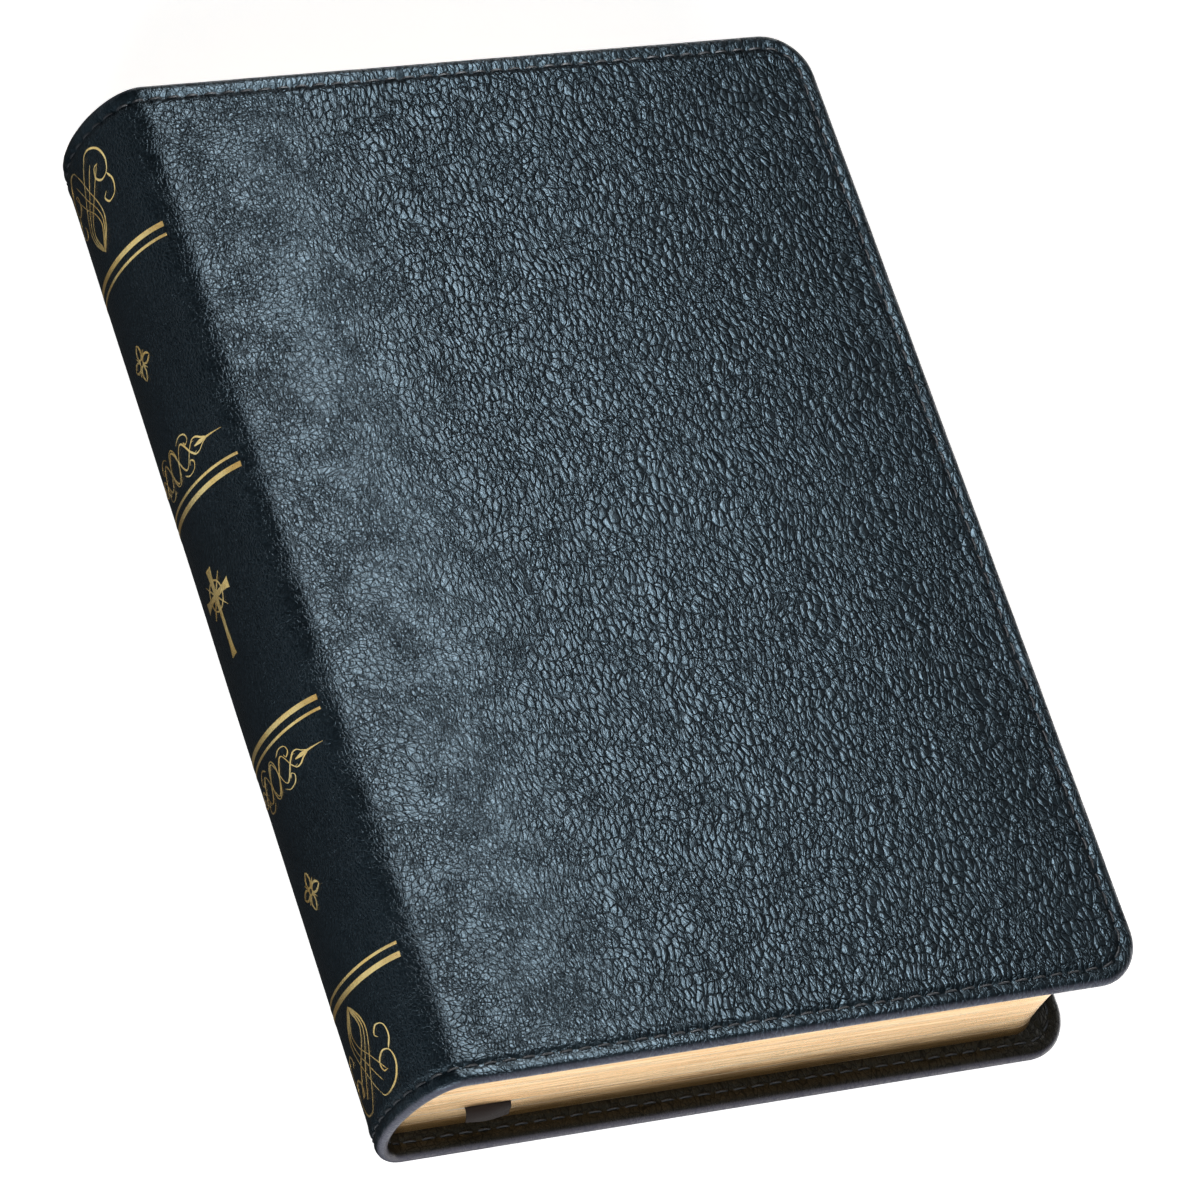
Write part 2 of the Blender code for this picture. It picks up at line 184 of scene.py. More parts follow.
def cover_d_p(x, y):
    """Distance from the free edge, and the place along the stitch line."""
    cx, y0, y1 = W - CORNER, CORNER, H - CORNER
    dx = x - cx
    dlow, dhigh = y0 - y, y - y1
    d = np.minimum(np.minimum(y, H - y), W - x)
    low = (dx > 0) & (dlow > 0)
    high = (dx > 0) & (dhigh > 0)
    d = np.where(low, CORNER - np.hypot(dx, dlow), d)
    d = np.where(high, CORNER - np.hypot(dx, dhigh), d)
    tail, head = (y < H - y), (y >= H - y)
    p = np.where(tail, x - X_SEAM, 2 * L1 + 2 * ARC + L2 - (x - X_SEAM))
    fore = (dx > 0) & ~low & ~high & ((W - x) <= np.minimum(y, H - y))
    p = np.where(fore, L1 + ARC + (y - y0), p)
    # the corners turn through a quarter circle
    th_low = np.arctan2(dx, np.maximum(dlow, 1e-9))
    p = np.where(low, L1 + PATH_R * th_low, p)
    th_high = np.arctan2(dx, np.maximum(dhigh, 1e-9))
    p = np.where(high, L1 + 2 * ARC + L2 - PATH_R * th_high, p)
    return d, p


def seam_relief(d, p, pitch, k=0.0, strength=1.0):
    """Height of the leather by the stitch line: groove, needle holes, swollen bead."""
    hole = (0.5 + 0.5 * np.cos(2 * math.pi * p / pitch)) ** 2
    uneven = 1 + 0.18 * edge_waves(p, k)
    groove = -(0.30 + 0.34 * hole) * np.exp(-(((d - STITCH) / 0.6) ** 2))
    bead = 0.20 * (1 - 0.55 * hole) * uneven * np.exp(-(((d - 1.85) / 0.8) ** 2))
    puff = 0.24 * (1 - 0.5 * hole) * uneven * np.exp(-(((d - 5.0) / 1.25) ** 2))
    pucker = -0.10 * hole * np.exp(-(((d - STITCH) / 2.4) ** 2))
    return (groove + bead + puff + pucker) * strength


def roll(d, r):
    q = np.clip(r - d, 0, r)
    return r - np.sqrt(np.maximum(r * r - q * q, 0))


def lay_lines(a, b, fine_a, fine_b, step, fine=0.42, reach=8.0, r=1.5):
    """Grid lines from a to b: rounded edge and fine rows near an end that is free."""

    def edge():
        th = np.linspace(0, math.pi / 2, 7)
        first = r * (1 - np.cos(th))
        rest = np.arange(r + fine, reach, fine)
        return np.concatenate([first, rest])

    lo = a + edge() if fine_a else np.array([a])
    hi = b - edge()[::-1] if fine_b else np.array([b])
    n = max(2, int(round((hi[0] - lo[-1]) / step)))
    return np.concatenate([lo, np.linspace(lo[-1], hi[0], n + 1)[1:-1], hi])


def new_object(name, verts, faces, mats, mat_index=None, attrs=None, sharp=50):
    mesh = bpy.data.meshes.new(name)
    mesh.from_pydata([tuple(v) for v in verts], [], [tuple(int(i) for i in f) for f in faces])
    mesh.validate()
    for m in mats:
        mesh.materials.append(m)
    if mat_index is not None:
        mesh.polygons.foreach_set("material_index", np.asarray(mat_index, np.int32))
    for key, val in (attrs or {}).items():
        val = np.asarray(val, np.float32)
        if val.ndim == 2:
            at = mesh.attributes.new(key, "FLOAT_VECTOR", "POINT")
            at.data.foreach_set("vector", val.ravel())
        else:
            at = mesh.attributes.new(key, "FLOAT", "POINT")
            at.data.foreach_set("value", val)
    mesh.shade_smooth()
    if sharp:
        mesh.set_sharp_from_angle(angle=math.radians(sharp))
    mesh.update()
    obj = bpy.data.objects.new(name, mesh)
    bpy.context.scene.collection.objects.link(obj)
    return obj


def shell(name, s_lines, y_lines, cover, front, mats):
    """A leather shell: outer and inner grids meeting at the rolled free edges."""
    S, Y = np.meshgrid(s_lines, y_lines, indexing="ij")
    n, m = S.shape
    if cover:
        X = (S - S_FRONT + X_SEAM) if front else (S_BACK - S + X_SEAM)
        cx = W - CORNER
        for lowside in (True, False):
            v = (CORNER - Y) / CORNER if lowside else (Y - (H - CORNER)) / CORNER
            u = (X - cx) / CORNER
            inside = (u > 0) & (v > 0)
            u2 = np.where(inside, u * np.sqrt(np.clip(1 - v * v / 2, 0, 1)), u)
            v2 = np.where(inside, v * np.sqrt(np.clip(1 - u * u / 2, 0, 1)), v)
            X = np.where(inside, cx + u2 * CORNER, X)
            Y = np.where(inside, CORNER - v2 * CORNER if lowside else H - CORNER + v2 * CORNER, Y)
        S = (X - X_SEAM + S_FRONT) if front else (S_BACK - (X - X_SEAM))
        D, P = cover_d_p(X, Y)
        pitch = PITCH_C
        thick = np.full_like(S, COVER_T)
    else:
        X = None
        D = np.minimum(Y, H - Y)
        P = S - S_BACK
        pitch = PITCH_S
        thick = 2.7 + 0.3 * smooth(np.abs(S - S_MID), LE / 2 - 7, LE / 2)
    D = np.maximum(D, 0)
    rr = thick / 2
    x, z, nx, nz = curve_at(S)
    k = 1.0 if front else 2.3
    flat = smooth(D, 0.6, 9)
    wave = undulate(S, Y) * (0.42 if cover else 0.22) * flat
    # the leather draws in a little between the shoulder and the first stitches
    fade = smooth(D, 0.15, 1.1)
    h_out = seam_relief(D, P, pitch, k) * fade + wave - roll(D, rr)
    lip = 0.05 * edge_waves(P, k + 0.5) * smooth(D, 0.0, 0.4) * (1 - smooth(D, 1.2, 3.0))
    h_out = h_out + lip - SINK
    inner_fine = seam_relief(D, P, pitch, k + 1.7, 0.55) * fade
    h_in = -thick + roll(D, rr) - inner_fine
    if cover:
        recess = 1.0 * smooth(D, HEM, HEM + 0.35) * smooth(X, 12.2, 12.6)
    else:
        recess = 1.35 * smooth(D, 9.0, 9.5) * (1 - smooth(np.abs(S - S_MID), LE / 2 - 3.5, LE / 2 - 0.5))
    h_in = h_in + recess + 0.3 * wave

    def points(h):
        return np.stack([x + nx * h, Y, z + nz * h], -1)

    outer, inner = points(h_out), points(h_in)
    verts = [world(outer.reshape(-1, 3))]
    idx_o = np.arange(n * m).reshape(n, m)
    ring = D < 1e-6
    idx_i = idx_o.copy()
    free = ~ring
    count = int(free.sum())
    idx_i[free] = n * m + np.arange(count)
    verts.append(world(inner[free]))
    verts = np.concatenate(verts)
    skin_o = np.stack([S, Y, np.zeros_like(S)], -1).reshape(-1, 3)
    skin_i = np.stack([S, Y, np.full_like(S, 60.0)], -1)[free]
    skin = np.concatenate([skin_o, skin_i])
    edge = np.concatenate([D.reshape(-1), D[free]])

    def quads(idx, flip):
        a, b, c, d = idx[:-1, :-1], idx[1:, :-1], idx[1:, 1:], idx[:-1, 1:]
        q = np.stack([a, b, c, d], -1).reshape(-1, 4)
        return q[:, ::-1] if flip else q

    # S grows from the back cover's fore-edge round to the front's: outward is -b x y
    fo, fi = quads(idx_o, False), quads(idx_i, True)
    faces = [list(f) for f in fo] + [list(f) for f in fi]
    inner_flag = [0] * len(fo) + [1] * len(fi)
    for col, rev in ((0, False), (n - 1, True)):
        if ring[col].all():
            continue
        for j in range(m - 1):
            q = [idx_o[col, j], idx_i[col, j], idx_i[col, j + 1], idx_o[col, j + 1]]
            q = q[::-1] if not rev else q
            q = list(dict.fromkeys(q))
            if len(q) >= 3:
                faces.append(q)
                inner_flag.append(1)
    obj = new_object(name, verts, faces, mats, inner_flag, {"skin": skin, "edge_d": edge})
    return obj


def surface(s, y, front=True, cover=True, x=None, inner=False):
    """Point and normal of the leather's outer or inner face, in book millimetres."""
    s, y = np.asarray(s, float), np.asarray(y, float)
    if cover:
        xx = (s - S_FRONT + X_SEAM) if front else (S_BACK - s + X_SEAM)
        d, p = cover_d_p(xx, y)
        pitch = PITCH_C
        thick = np.full_like(s, COVER_T)
    else:
        d = np.minimum(y, H - y)
        p = s - S_BACK
        pitch = PITCH_S
        thick = 2.7 + 0.3 * smooth(np.abs(s - S_MID), LE / 2 - 7, LE / 2)
    cx, cz, nx, nz = curve_at(s)
    k = 1.0 if front else 2.3
    wave = undulate(s, y) * (0.42 if cover else 0.22) * smooth(d, 0.6, 9)
    if inner:
        h = -thick - seam_relief(d, p, pitch, k + 1.7, 0.55) + 0.3 * wave
    else:
        h = seam_relief(d, p, pitch, k) + wave - SINK
    return np.stack([cx + nx * h, y, cz + nz * h], -1), np.stack([nx, 0 * nx, nz], -1)


# ------------------------------------------------------------------ materials
class Nodes:
    """A small helper to write node trees."""

    def __init__(self, name):
        self.mat = bpy.data.materials.new(name)
        self.mat.use_nodes = True
        self.tree = self.mat.node_tree
        self.bsdf = self.tree.nodes["Principled BSDF"]

    def add(self, kind, **props):
        node = self.tree.nodes.new(kind)
        ins = props.pop("ins", {})
        for key, val in props.items():
            setattr(node, key, val)
        for key, val in ins.items():
            self.put(node, key, val)
        return node

    def put(self, node, key, val):
        socket = node.inputs[key]
        if isinstance(val, bpy.types.NodeSocket):
            self.tree.links.new(val, socket)
        elif isinstance(val, bpy.types.Node):
            self.tree.links.new(val.outputs[0], socket)
        else:
            socket.default_value = val

    def math(self, op, a, b=0.0, c=None, clamp=False):
        node = self.add("ShaderNodeMath", operation=op, use_clamp=clamp)
        self.put(node, 0, a)
        self.put(node, 1, b)
        if c is not None:
            self.put(node, 2, c)
        return node.outputs[0]

    def skin(self, name="skin"):
        node = self.add("ShaderNodeAttribute", attribute_name=name, attribute_type="GEOMETRY")
        return node

    def scaled(self, vec, scale, rot=(0, 0, 0), loc=(0, 0, 0)):
        node = self.add("ShaderNodeMapping", vector_type="POINT")
        self.put(node, "Vector", vec)
        node.inputs["Scale"].default_value = scale
        node.inputs["Rotation"].default_value = rot
        node.inputs["Location"].default_value = loc
        return node.outputs[0]

    def noise(self, vec, scale=1.0, detail=3.0, rough=0.55, distortion=0.0):
        node = self.add("ShaderNodeTexNoise")
        self.put(node, "Vector", vec)
        node.inputs["Scale"].default_value = scale
        node.inputs["Detail"].default_value = detail
        node.inputs["Roughness"].default_value = rough
        node.inputs["Distortion"].default_value = distortion
        return node

    def voronoi(self, vec, feature="DISTANCE_TO_EDGE", scale=1.0, randomness=1.0, dims="3D"):
        node = self.add("ShaderNodeTexVoronoi", feature=feature, voronoi_dimensions=dims)
        self.put(node, "Vector", vec)
        node.inputs["Scale"].default_value = scale
        node.inputs["Randomness"].default_value = randomness
        return node

    def ramp(self, fac, stops, interp="LINEAR"):
        node = self.add("ShaderNodeValToRGB")
        self.put(node, "Fac", fac)
        ramp = node.color_ramp
        ramp.interpolation = interp
        while len(ramp.elements) > 1:
            ramp.elements.remove(ramp.elements[-1])
        ramp.elements[0].position = stops[0][0]
        ramp.elements[0].color = (*stops[0][1], 1.0)
        for pos, col in stops[1:]:
            e = ramp.elements.new(pos)
            e.color = (*col, 1.0)
        return node

    def mix(self, fac, a, b, blend="MIX"):
        node = self.add("ShaderNodeMix", data_type="RGBA", blend_type=blend)
        self.put(node, 0, fac)
        for key, val in ((6, a), (7, b)):
            self.put(node, key, (*val, 1.0) if isinstance(val, tuple) and len(val) == 3 else val)
        return node.outputs[2]

    def mixf(self, fac, a, b):
        node = self.add("ShaderNodeMix", data_type="FLOAT")
        self.put(node, 0, fac)
        self.put(node, 2, a)
        self.put(node, 3, b)
        return node.outputs[0]

    def span(self, val, a, b, c=0.0, d=1.0, smooth_it=True):
        node = self.add("ShaderNodeMapRange", interpolation_type="SMOOTHSTEP" if smooth_it else "LINEAR")
        self.put(node, "Value", val)
        node.inputs["From Min"].default_value = a
        node.inputs["From Max"].default_value = b
        node.inputs["To Min"].default_value = c
        node.inputs["To Max"].default_value = d
        return node.outputs[0]

    def bump(self, height, distance, strength=1.0, normal=None):
        node = self.add("ShaderNodeBump")
        self.put(node, "Height", height)
        node.inputs["Distance"].default_value = distance
        node.inputs["Strength"].default_value = strength
        if normal is not None:
            self.put(node, "Normal", normal)
        return node.outputs[0]


def leather(name, grain=1.0, base=(0.0030, 0.0062, 0.0090), dark=(0.0010, 0.0022, 0.0034), rough=(0.30, 0.44), depth=0.00040, gloss=0.5, tint=(0.58, 0.82, 1.0)):
    """Pebbled calfskin: long soft pebbles split by creases, with fine pores."""
    n = Nodes(name)
    skin = n.skin()
    vec = skin.outputs["Vector"]
    sep = n.add("ShaderNodeSeparateXYZ")
    n.put(sep, 0, vec)
    s = sep.outputs[0]
    # distance from the middle of the spine: 0 on the spine, 1 out on the covers
    away = n.math("ABSOLUTE", n.math("SUBTRACT", s, S_MID))
    on_cover = n.span(away, LE / 2 - 12.0, LE / 2 + 3.0)
    far = n.span(away, LE / 2 + 2, LE / 2 + 55)

    def warped(source, freq, amount):
        noise = n.noise(n.scaled(source, (freq, freq, freq)), 1.0, 2.0)
        node = n.add("ShaderNodeVectorMath", operation="MULTIPLY_ADD")
        n.put(node, 0, noise.outputs["Color"])
        node.inputs[1].default_value = (amount, amount, 0.0)
        n.put(node, 2, source)
        return node.outputs[0]

    # warp the coordinates so that the creases curve and the cells are irregular
    wv = warped(warped(vec, 0.045, 7.0), 0.45, 1.1)
    long_map = n.scaled(wv, (1 / 1.3, 1 / 2.3, 1 / 10), rot=(0, 0, math.radians(12)))
    wide_map = n.scaled(wv, (1 / 1.75, 1 / 1.1, 1 / 10), rot=(0, 0, math.radians(-14)))
    long_cells, long_mid = n.voronoi(long_map), n.voronoi(long_map, "F1")
    round_cells, round_mid = n.voronoi(wide_map), n.voronoi(wide_map, "F1")
    small = n.voronoi(n.scaled(wv, (1 / 0.75, 1 / 1.0, 1 / 10), rot=(0, 0, math.radians(30))))
    tiny = n.voronoi(n.scaled(warped(vec, 0.9, 0.9), (1 / 0.75, 1 / 0.85, 1 / 10)))

    def pebble(cells, line, centre=None):
        """Crease mask, and the height of cushions that swell towards their middles."""
        crease = n.span(cells.outputs["Distance"], 0.0, line)
        if centre is None:
            dome = n.math("MINIMUM", n.math("MULTIPLY", cells.outputs["Distance"], 2.4), 1.0)
        else:
            dome = n.math("SUBTRACT", 1.0, n.math("MULTIPLY", n.math("POWER", centre.outputs["Distance"], 2.0), 1.7), clamp=True)
        return crease, n.math("MULTIPLY_ADD", crease, 0.34, n.math("MULTIPLY", dome, 0.72))

    c_long, h_long = pebble(long_cells, 0.085, long_mid)
    c_round, h_round = pebble(round_cells, 0.10, round_mid)
    c_small, h_small = pebble(small, 0.14)
    c_tiny, h_tiny = pebble(tiny, 0.16)
    big_h = n.mixf(far, n.math("MULTIPLY", h_round, 0.34), h_long)
    big_c = n.mixf(far, c_round, c_long)
    # patches where the smaller creases cross the pebbles
    patch = n.span(n.noise(n.scaled(vec, (0.11, 0.11, 0.11)), 1.0, 3.0).outputs["Fac"], 0.38, 0.62)
    split = n.math("MULTIPLY_ADD", patch, 0.22, 0.09)
    fine = n.noise(n.scaled(vec, (3.4, 3.4, 3.4)), 1.0, 4.0, 0.65)
    body = n.math("MULTIPLY_ADD", h_small, split, big_h)
    spine_h = n.math("ADD", n.math("MULTIPLY", h_tiny, 0.22), n.math("MULTIPLY", h_small, 0.34))
    height = n.mixf(on_cover, spine_h, body)
    height = n.math("MULTIPLY_ADD", fine.outputs["Fac"], 0.07, height)
    # near the sewn edge the grain is pressed flatter
    edge = n.skin("edge_d").outputs["Fac"]
    press = n.span(edge, 2.0, 5.0, 0.45, 1.0)
    height = n.math("MULTIPLY", height, press)
    normal = n.bump(height, depth * grain, 1.0)
    # colour: creases darker, a painted shade in the creases of the grain
    tone = n.noise(n.scaled(vec, (0.022, 0.022, 0.022)), 1.0, 3.0)
    top = n.mix(n.span(tone.outputs["Fac"], 0.35, 0.65), tuple(c * 0.84 for c in base), tuple(c * 1.18 for c in base))
    small_c = n.math("MULTIPLY_ADD", c_small, 0.45, 0.55)
    crease_mask = n.mixf(on_cover, n.math("MULTIPLY_ADD", c_tiny, 0.3, 0.7), n.math("MULTIPLY", big_c, small_c))
    # the creases take the dark colour: painted shade, not a dye
    colour = n.mix(crease_mask, dark, top)
    # rubbed edges lightened: partly real wear, partly a painted highlight where the rolled edge catches the light
    wear_and_edge_highlight = n.math("MULTIPLY", n.span(edge, 0.1, 1.5, 1.0, 0.0), n.span(fine.outputs["Fac"], 0.35, 0.62))
    colour = n.mix(n.math("MULTIPLY", wear_and_edge_highlight, 0.5), colour, (0.040, 0.043, 0.060))
    # a lighter lavender line on the outermost rolled edge: a painted highlight
    rim = n.math("MULTIPLY", n.span(edge, 0.35, 1.05, 1.0, 0.0), n.span(fine.outputs["Fac"], 0.2, 0.5, 0.6, 1.0))
    colour = n.mix(n.math("MULTIPLY", rim, 0.8), colour, (0.085, 0.085, 0.112))
    n.put(n.bsdf, "Base Color", colour)
    r = n.mixf(crease_mask, rough[1], rough[0])
    r = n.math("MULTIPLY_ADD", n.math("SUBTRACT", fine.outputs["Fac"], 0.5), 0.16, r)
    r = n.math("MULTIPLY_ADD", n.math("SUBTRACT", tone.outputs["Fac"], 0.5), 0.10, r, clamp=True)
    n.put(n.bsdf, "Roughness", r)
    n.put(n.bsdf, "Normal", normal)
    # the creases hold no polish, and the spine less than the covers
    shine = n.math("MULTIPLY", n.math("MULTIPLY_ADD", crease_mask, 0.75, 0.25), n.math("MULTIPLY_ADD", on_cover, 0.6, 0.4))
    n.put(n.bsdf, "Specular IOR Level", n.math("MULTIPLY", shine, gloss))
    n.bsdf.inputs["Specular Tint"].default_value = (*tint, 1.0)
    return n.mat


def thread_material(name, colour, rough=0.55):
    n = Nodes(name)
    vec = n.skin().outputs["Vector"]
    ply = n.add("ShaderNodeTexWave", wave_type="BANDS", bands_direction="DIAGONAL")
    n.put(ply, "Vector", n.scaled(vec, (1.6, 1.6, 1.6)))
    ply.inputs["Scale"].default_value = 1.0
    ply.inputs["Distortion"].default_value = 0.6
    fuzz = n.noise(n.scaled(vec, (9, 9, 9)), 1.0, 2.0)
    h = n.math("MULTIPLY_ADD", fuzz.outputs["Fac"], 0.3, ply.outputs["Fac"])
    n.put(n.bsdf, "Normal", n.bump(h, 0.00006, 1.0))
    n.put(n.bsdf, "Base Color", n.mix(ply.outputs["Fac"], tuple(c * 0.5 for c in colour), colour))
    n.put(n.bsdf, "Roughness", n.span(fuzz.outputs["Fac"], 0.3, 0.7, rough - 0.08, rough + 0.1))
    return n.mat


def foil_material(name):
    """Hot-stamped gold: bright, a little broken by the grain under it."""
    n = Nodes(name)
    vec = n.skin().outputs["Vector"]
    grain = n.voronoi(n.scaled(vec, (1.5, 1.2, 0.3)))
    speck = n.noise(n.scaled(vec, (4.2, 4.2, 4.2)), 1.0, 3.0, 0.6)
    tone = n.noise(n.scaled(vec, (0.16, 0.16, 0.16)), 1.0, 2.0)
    h = n.math("MULTIPLY_ADD", n.span(grain.outputs["Distance"], 0, 0.16), 0.7, n.math("MULTIPLY", speck.outputs["Fac"], 0.6))
    n.put(n.bsdf, "Normal", n.bump(h, 0.00004, 1.0))
    col = n.mix(n.span(tone.outputs["Fac"], 0.3, 0.7), (0.90, 0.58, 0.19), (1.0, 0.74, 0.32))
    col = n.mix(n.span(speck.outputs["Fac"], 0.60, 0.74), col, (0.42, 0.27, 0.09))
    n.put(n.bsdf, "Base Color", col)
    n.put(n.bsdf, "Roughness", n.span(speck.outputs["Fac"], 0.3, 0.7, 0.26, 0.46))
    n.bsdf.inputs["Metallic"].default_value = 0.92
    return n.mat


def gilt_material(name):
    """Gilt page edges: hundreds of thin leaves under burnished gold."""
    n = Nodes(name)
    vec = n.skin().outputs["Vector"]
    lines = n.noise(n.scaled(vec, (0.035, 0.035, 7.5)), 1.0, 4.0, 0.62)
    fine = n.noise(n.scaled(vec, (0.09, 0.09, 22.0)), 1.0, 2.0, 0.5)
    broad = n.noise(n.scaled(vec, (0.02, 0.02, 1.1)), 1.0, 3.0, 0.5)
    h = n.math("MULTIPLY_ADD", fine.outputs["Fac"], 0.45, lines.outputs["Fac"])
    n.put(n.bsdf, "Normal", n.bump(h, 0.00005, 1.0))
    col = n.mix(n.span(broad.outputs["Fac"], 0.34, 0.66), (0.80, 0.50, 0.24), (0.95, 0.69, 0.40))
    col = n.mix(n.span(lines.outputs["Fac"], 0.55, 0.78), col, (0.66, 0.43, 0.20))
    sep = n.add("ShaderNodeSeparateXYZ")
    n.put(sep, 0, vec)
    # the gold is painted browner on the last gatherings, by the back cover, streaked along the leaves: a painted
    # reflection of the dark back cover
    painted_reflection_z = n.math("MULTIPLY_ADD", n.math("SUBTRACT", lines.outputs["Fac"], 0.5), 7.0, sep.outputs[2])
    col = n.mix(n.span(painted_reflection_z, 3.5, 12.5, 0.85, 0.0), col, (0.34, 0.19, 0.055))
    n.put(n.bsdf, "Base Color", col)
    n.put(n.bsdf, "Roughness", n.span(fine.outputs["Fac"], 0.3, 0.7, 0.24, 0.38))
    n.bsdf.inputs["Metallic"].default_value = 0.93
    return n.mat


def paper_material(name, base=(0.83, 0.79, 0.68), ruled=False):
    """Thin cream paper; a printed page carries two columns of plain grey dashes."""
    n = Nodes(name)
    vec = n.skin().outputs["Vector"]
    fibre = n.noise(n.scaled(vec, (1.4, 0.5, 1.0)), 1.0, 5.0, 0.6, 0.4)
    tone = n.noise(n.scaled(vec, (0.018, 0.018, 0.018)), 1.0, 2.0)
    col = n.mix(n.span(tone.outputs["Fac"], 0.3, 0.7), base, tuple(c * 0.94 for c in base))
    col = n.mix(n.span(fibre.outputs["Fac"], 0.55, 0.8), col, tuple(c * 0.9 for c in base))
    if ruled:
        sep = n.add("ShaderNodeSeparateXYZ")
        n.put(sep, 0, vec)
        x, y = sep.outputs[0], sep.outputs[1]
        row = n.math("MULTIPLY", y, 1 / 3.1)
        part = n.math("FRACT", row)
        line = n.math("MULTIPLY", n.span(part, 0.22, 0.30), n.span(part, 0.62, 0.54))
        comb = n.add("ShaderNodeCombineXYZ")
        n.put(comb, 0, n.math("MULTIPLY", x, 0.42))
        n.put(comb, 1, n.math("MULTIPLY", n.math("FLOOR", row), 3.7))
        words = n.span(n.noise(comb.outputs[0], 1.0, 1.0).outputs["Fac"], 0.44, 0.47)
        left = n.math("MULTIPLY", n.span(x, 17.0, 17.4), n.span(x, 77.4, 77.0))
        right = n.math("MULTIPLY", n.span(x, 83.0, 83.4), n.span(x, 142.4, 142.0))
        tall = n.math("MULTIPLY", n.span(y, 17.0, 17.4), n.span(y, 204.4, 204.0))
        ink = n.math("MULTIPLY", n.math("MULTIPLY", line, words), n.math("MULTIPLY", n.math("MAXIMUM", left, right), tall))
        col = n.mix(n.math("MULTIPLY", ink, 0.55), col, (0.10, 0.095, 0.085))
    n.put(n.bsdf, "Base Color", col)
    n.put(n.bsdf, "Normal", n.bump(fibre.outputs["Fac"], 0.00002, 1.0))
    n.put(n.bsdf, "Roughness", n.span(fibre.outputs["Fac"], 0.3, 0.7, 0.72, 0.88))
    n.bsdf.inputs["Specular IOR Level"].default_value = 0.3
    return n.mat


def cloth_material(name, base, weave=0.45, rough=0.75, attr="skin"):
    n = Nodes(name)
    vec = n.skin(attr).outputs["Vector"]
    wx = n.add("ShaderNodeTexWave", wave_type="BANDS", bands_direction="X")
    wy = n.add("ShaderNodeTexWave", wave_type="BANDS", bands_direction="Y")
    for node in (wx, wy):
        n.put(node, "Vector", n.scaled(vec, (1 / weave,) * 3))
        node.inputs["Scale"].default_value = 1.0
        node.inputs["Distortion"].default_value = 0.3
    h = n.math("MAXIMUM", wx.outputs["Fac"], wy.outputs["Fac"])
    n.put(n.bsdf, "Normal", n.bump(h, 0.00005, 1.0))
    n.put(n.bsdf, "Base Color", n.mix(h, tuple(c * 0.6 for c in base), base))
    n.put(n.bsdf, "Roughness", n.span(h, 0, 1, rough + 0.1, rough - 0.08))
    n.bsdf.inputs["Specular IOR Level"].default_value = 0.25
    return n.mat


def object_material(name, base, rough, kind="board"):
    """For CAD pieces, which have no skin attribute: patterns in object space."""
    n = Nodes(name)
    tc = n.add("ShaderNodeTexCoord")
    vec = tc.outputs["Object"]
    if kind == "linen":
        wx = n.add("ShaderNodeTexWave", wave_type="BANDS", bands_direction="Y")
        wy = n.add("ShaderNodeTexWave", wave_type="BANDS", bands_direction="Z")
        for node in (wx, wy):
            n.put(node, "Vector", n.scaled(vec, (900, 900, 900)))
            node.inputs["Scale"].default_value = 1.0
        h = n.math("MAXIMUM", wx.outputs["Fac"], wy.outputs["Fac"])
        n.put(n.bsdf, "Base Color", n.mix(h, tuple(c * 0.55 for c in base), base))
        n.put(n.bsdf, "Normal", n.bump(h, 0.00008, 1.0))
        n.put(n.bsdf, "Roughness", n.span(h, 0, 1, rough, rough - 0.1))
    else:
        fib = n.noise(n.scaled(vec, (500, 900, 900)), 1.0, 5.0, 0.65)
        n.put(n.bsdf, "Base Color", n.mix(n.span(fib.outputs["Fac"], 0.35, 0.7), tuple(c * 0.75 for c in base), base))
        n.put(n.bsdf, "Normal", n.bump(fib.outputs["Fac"], 0.00005, 1.0))
        n.put(n.bsdf, "Roughness", n.span(fib.outputs["Fac"], 0.3, 0.7, rough - 0.08, rough))
    return n.mat


M_LEATHER = leather("leather_outer")
M_HEM = leather("leather_hem", grain=0.3, base=(0.014, 0.0135, 0.0095), dark=(0.005, 0.005, 0.004), rough=(0.28, 0.46), gloss=0.6, tint=(1.0, 0.97, 0.9))
M_LINING = leather("leather_lining", grain=0.14, base=(0.015, 0.0135, 0.0095), dark=(0.007, 0.0065, 0.005), rough=(0.34, 0.46), gloss=0.3, tint=(1.0, 0.97, 0.9))
M_THREAD = thread_material("thread_dark", (0.016, 0.021, 0.028))
M_FOIL = foil_material("foil_gold")
M_GILT = gilt_material("gilt_edge")
M_PAPER = paper_material("paper_cream", ruled=True)
M_END = paper_material("paper_end", (0.80, 0.76, 0.66))
M_RIBBON = cloth_material("ribbon_satin", (0.018, 0.012, 0.011), 0.3, 0.6)
M_BOARD = object_material("board_grey", (0.34, 0.32, 0.28), 0.9)
M_LINEN = object_material("linen_mull", (0.74, 0.71, 0.62), 0.92, "linen")

# ------------------------------------------------------------------ leather pieces
y_all = lay_lines(0, H, True, True, 1.25)
S_CUT = s_of_z(6.5)
cover_x = lay_lines(X_SEAM, W, False, True, 1.2)
front_s = S_FRONT + (cover_x - X_SEAM)
back_s = (S_BACK - (cover_x - X_SEAM))[::-1]

cover_front = shell("front_cover_skin", front_s, y_all, True, True, [M_LEATHER, M_HEM])
cover_back = shell("back_cover_skin", back_s, y_all, True, False, [M_LEATHER, M_HEM])
spine_low = shell(
    "back_joint_skin", np.linspace(S_BACK, S_CUT, 17), y_all, False, True, [M_LEATHER, M_HEM]
)
spine_skin = shell(
    "spine_skin",
    np.linspace(S_CUT, S_FRONT, 62),
    y_all,
    False,
    True,
    [M_LEATHER, M_HEM],
)

B_FRONT_COVER = ("front_block", "front_cover", wpt(10.2, 0, T - 1.5), wpt(18, 0, T - 1.5))
B_BACK_COVER = ("back_block", "back_cover", wpt(10.2, 0, 1.5), wpt(18, 0, 1.5))
B_LOW = ("back_block", "spine", wpt(5, 0, 0.3), wpt(5, 0, 6.3))
B_HIGH = ("spine", "front_block", wpt(5, 0, T - 6.3), wpt(5, 0, T - 0.3))


def bend(obj, how, slot, *nodes):
    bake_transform(obj)
    if nodes:
        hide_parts(*nodes)
    return obj


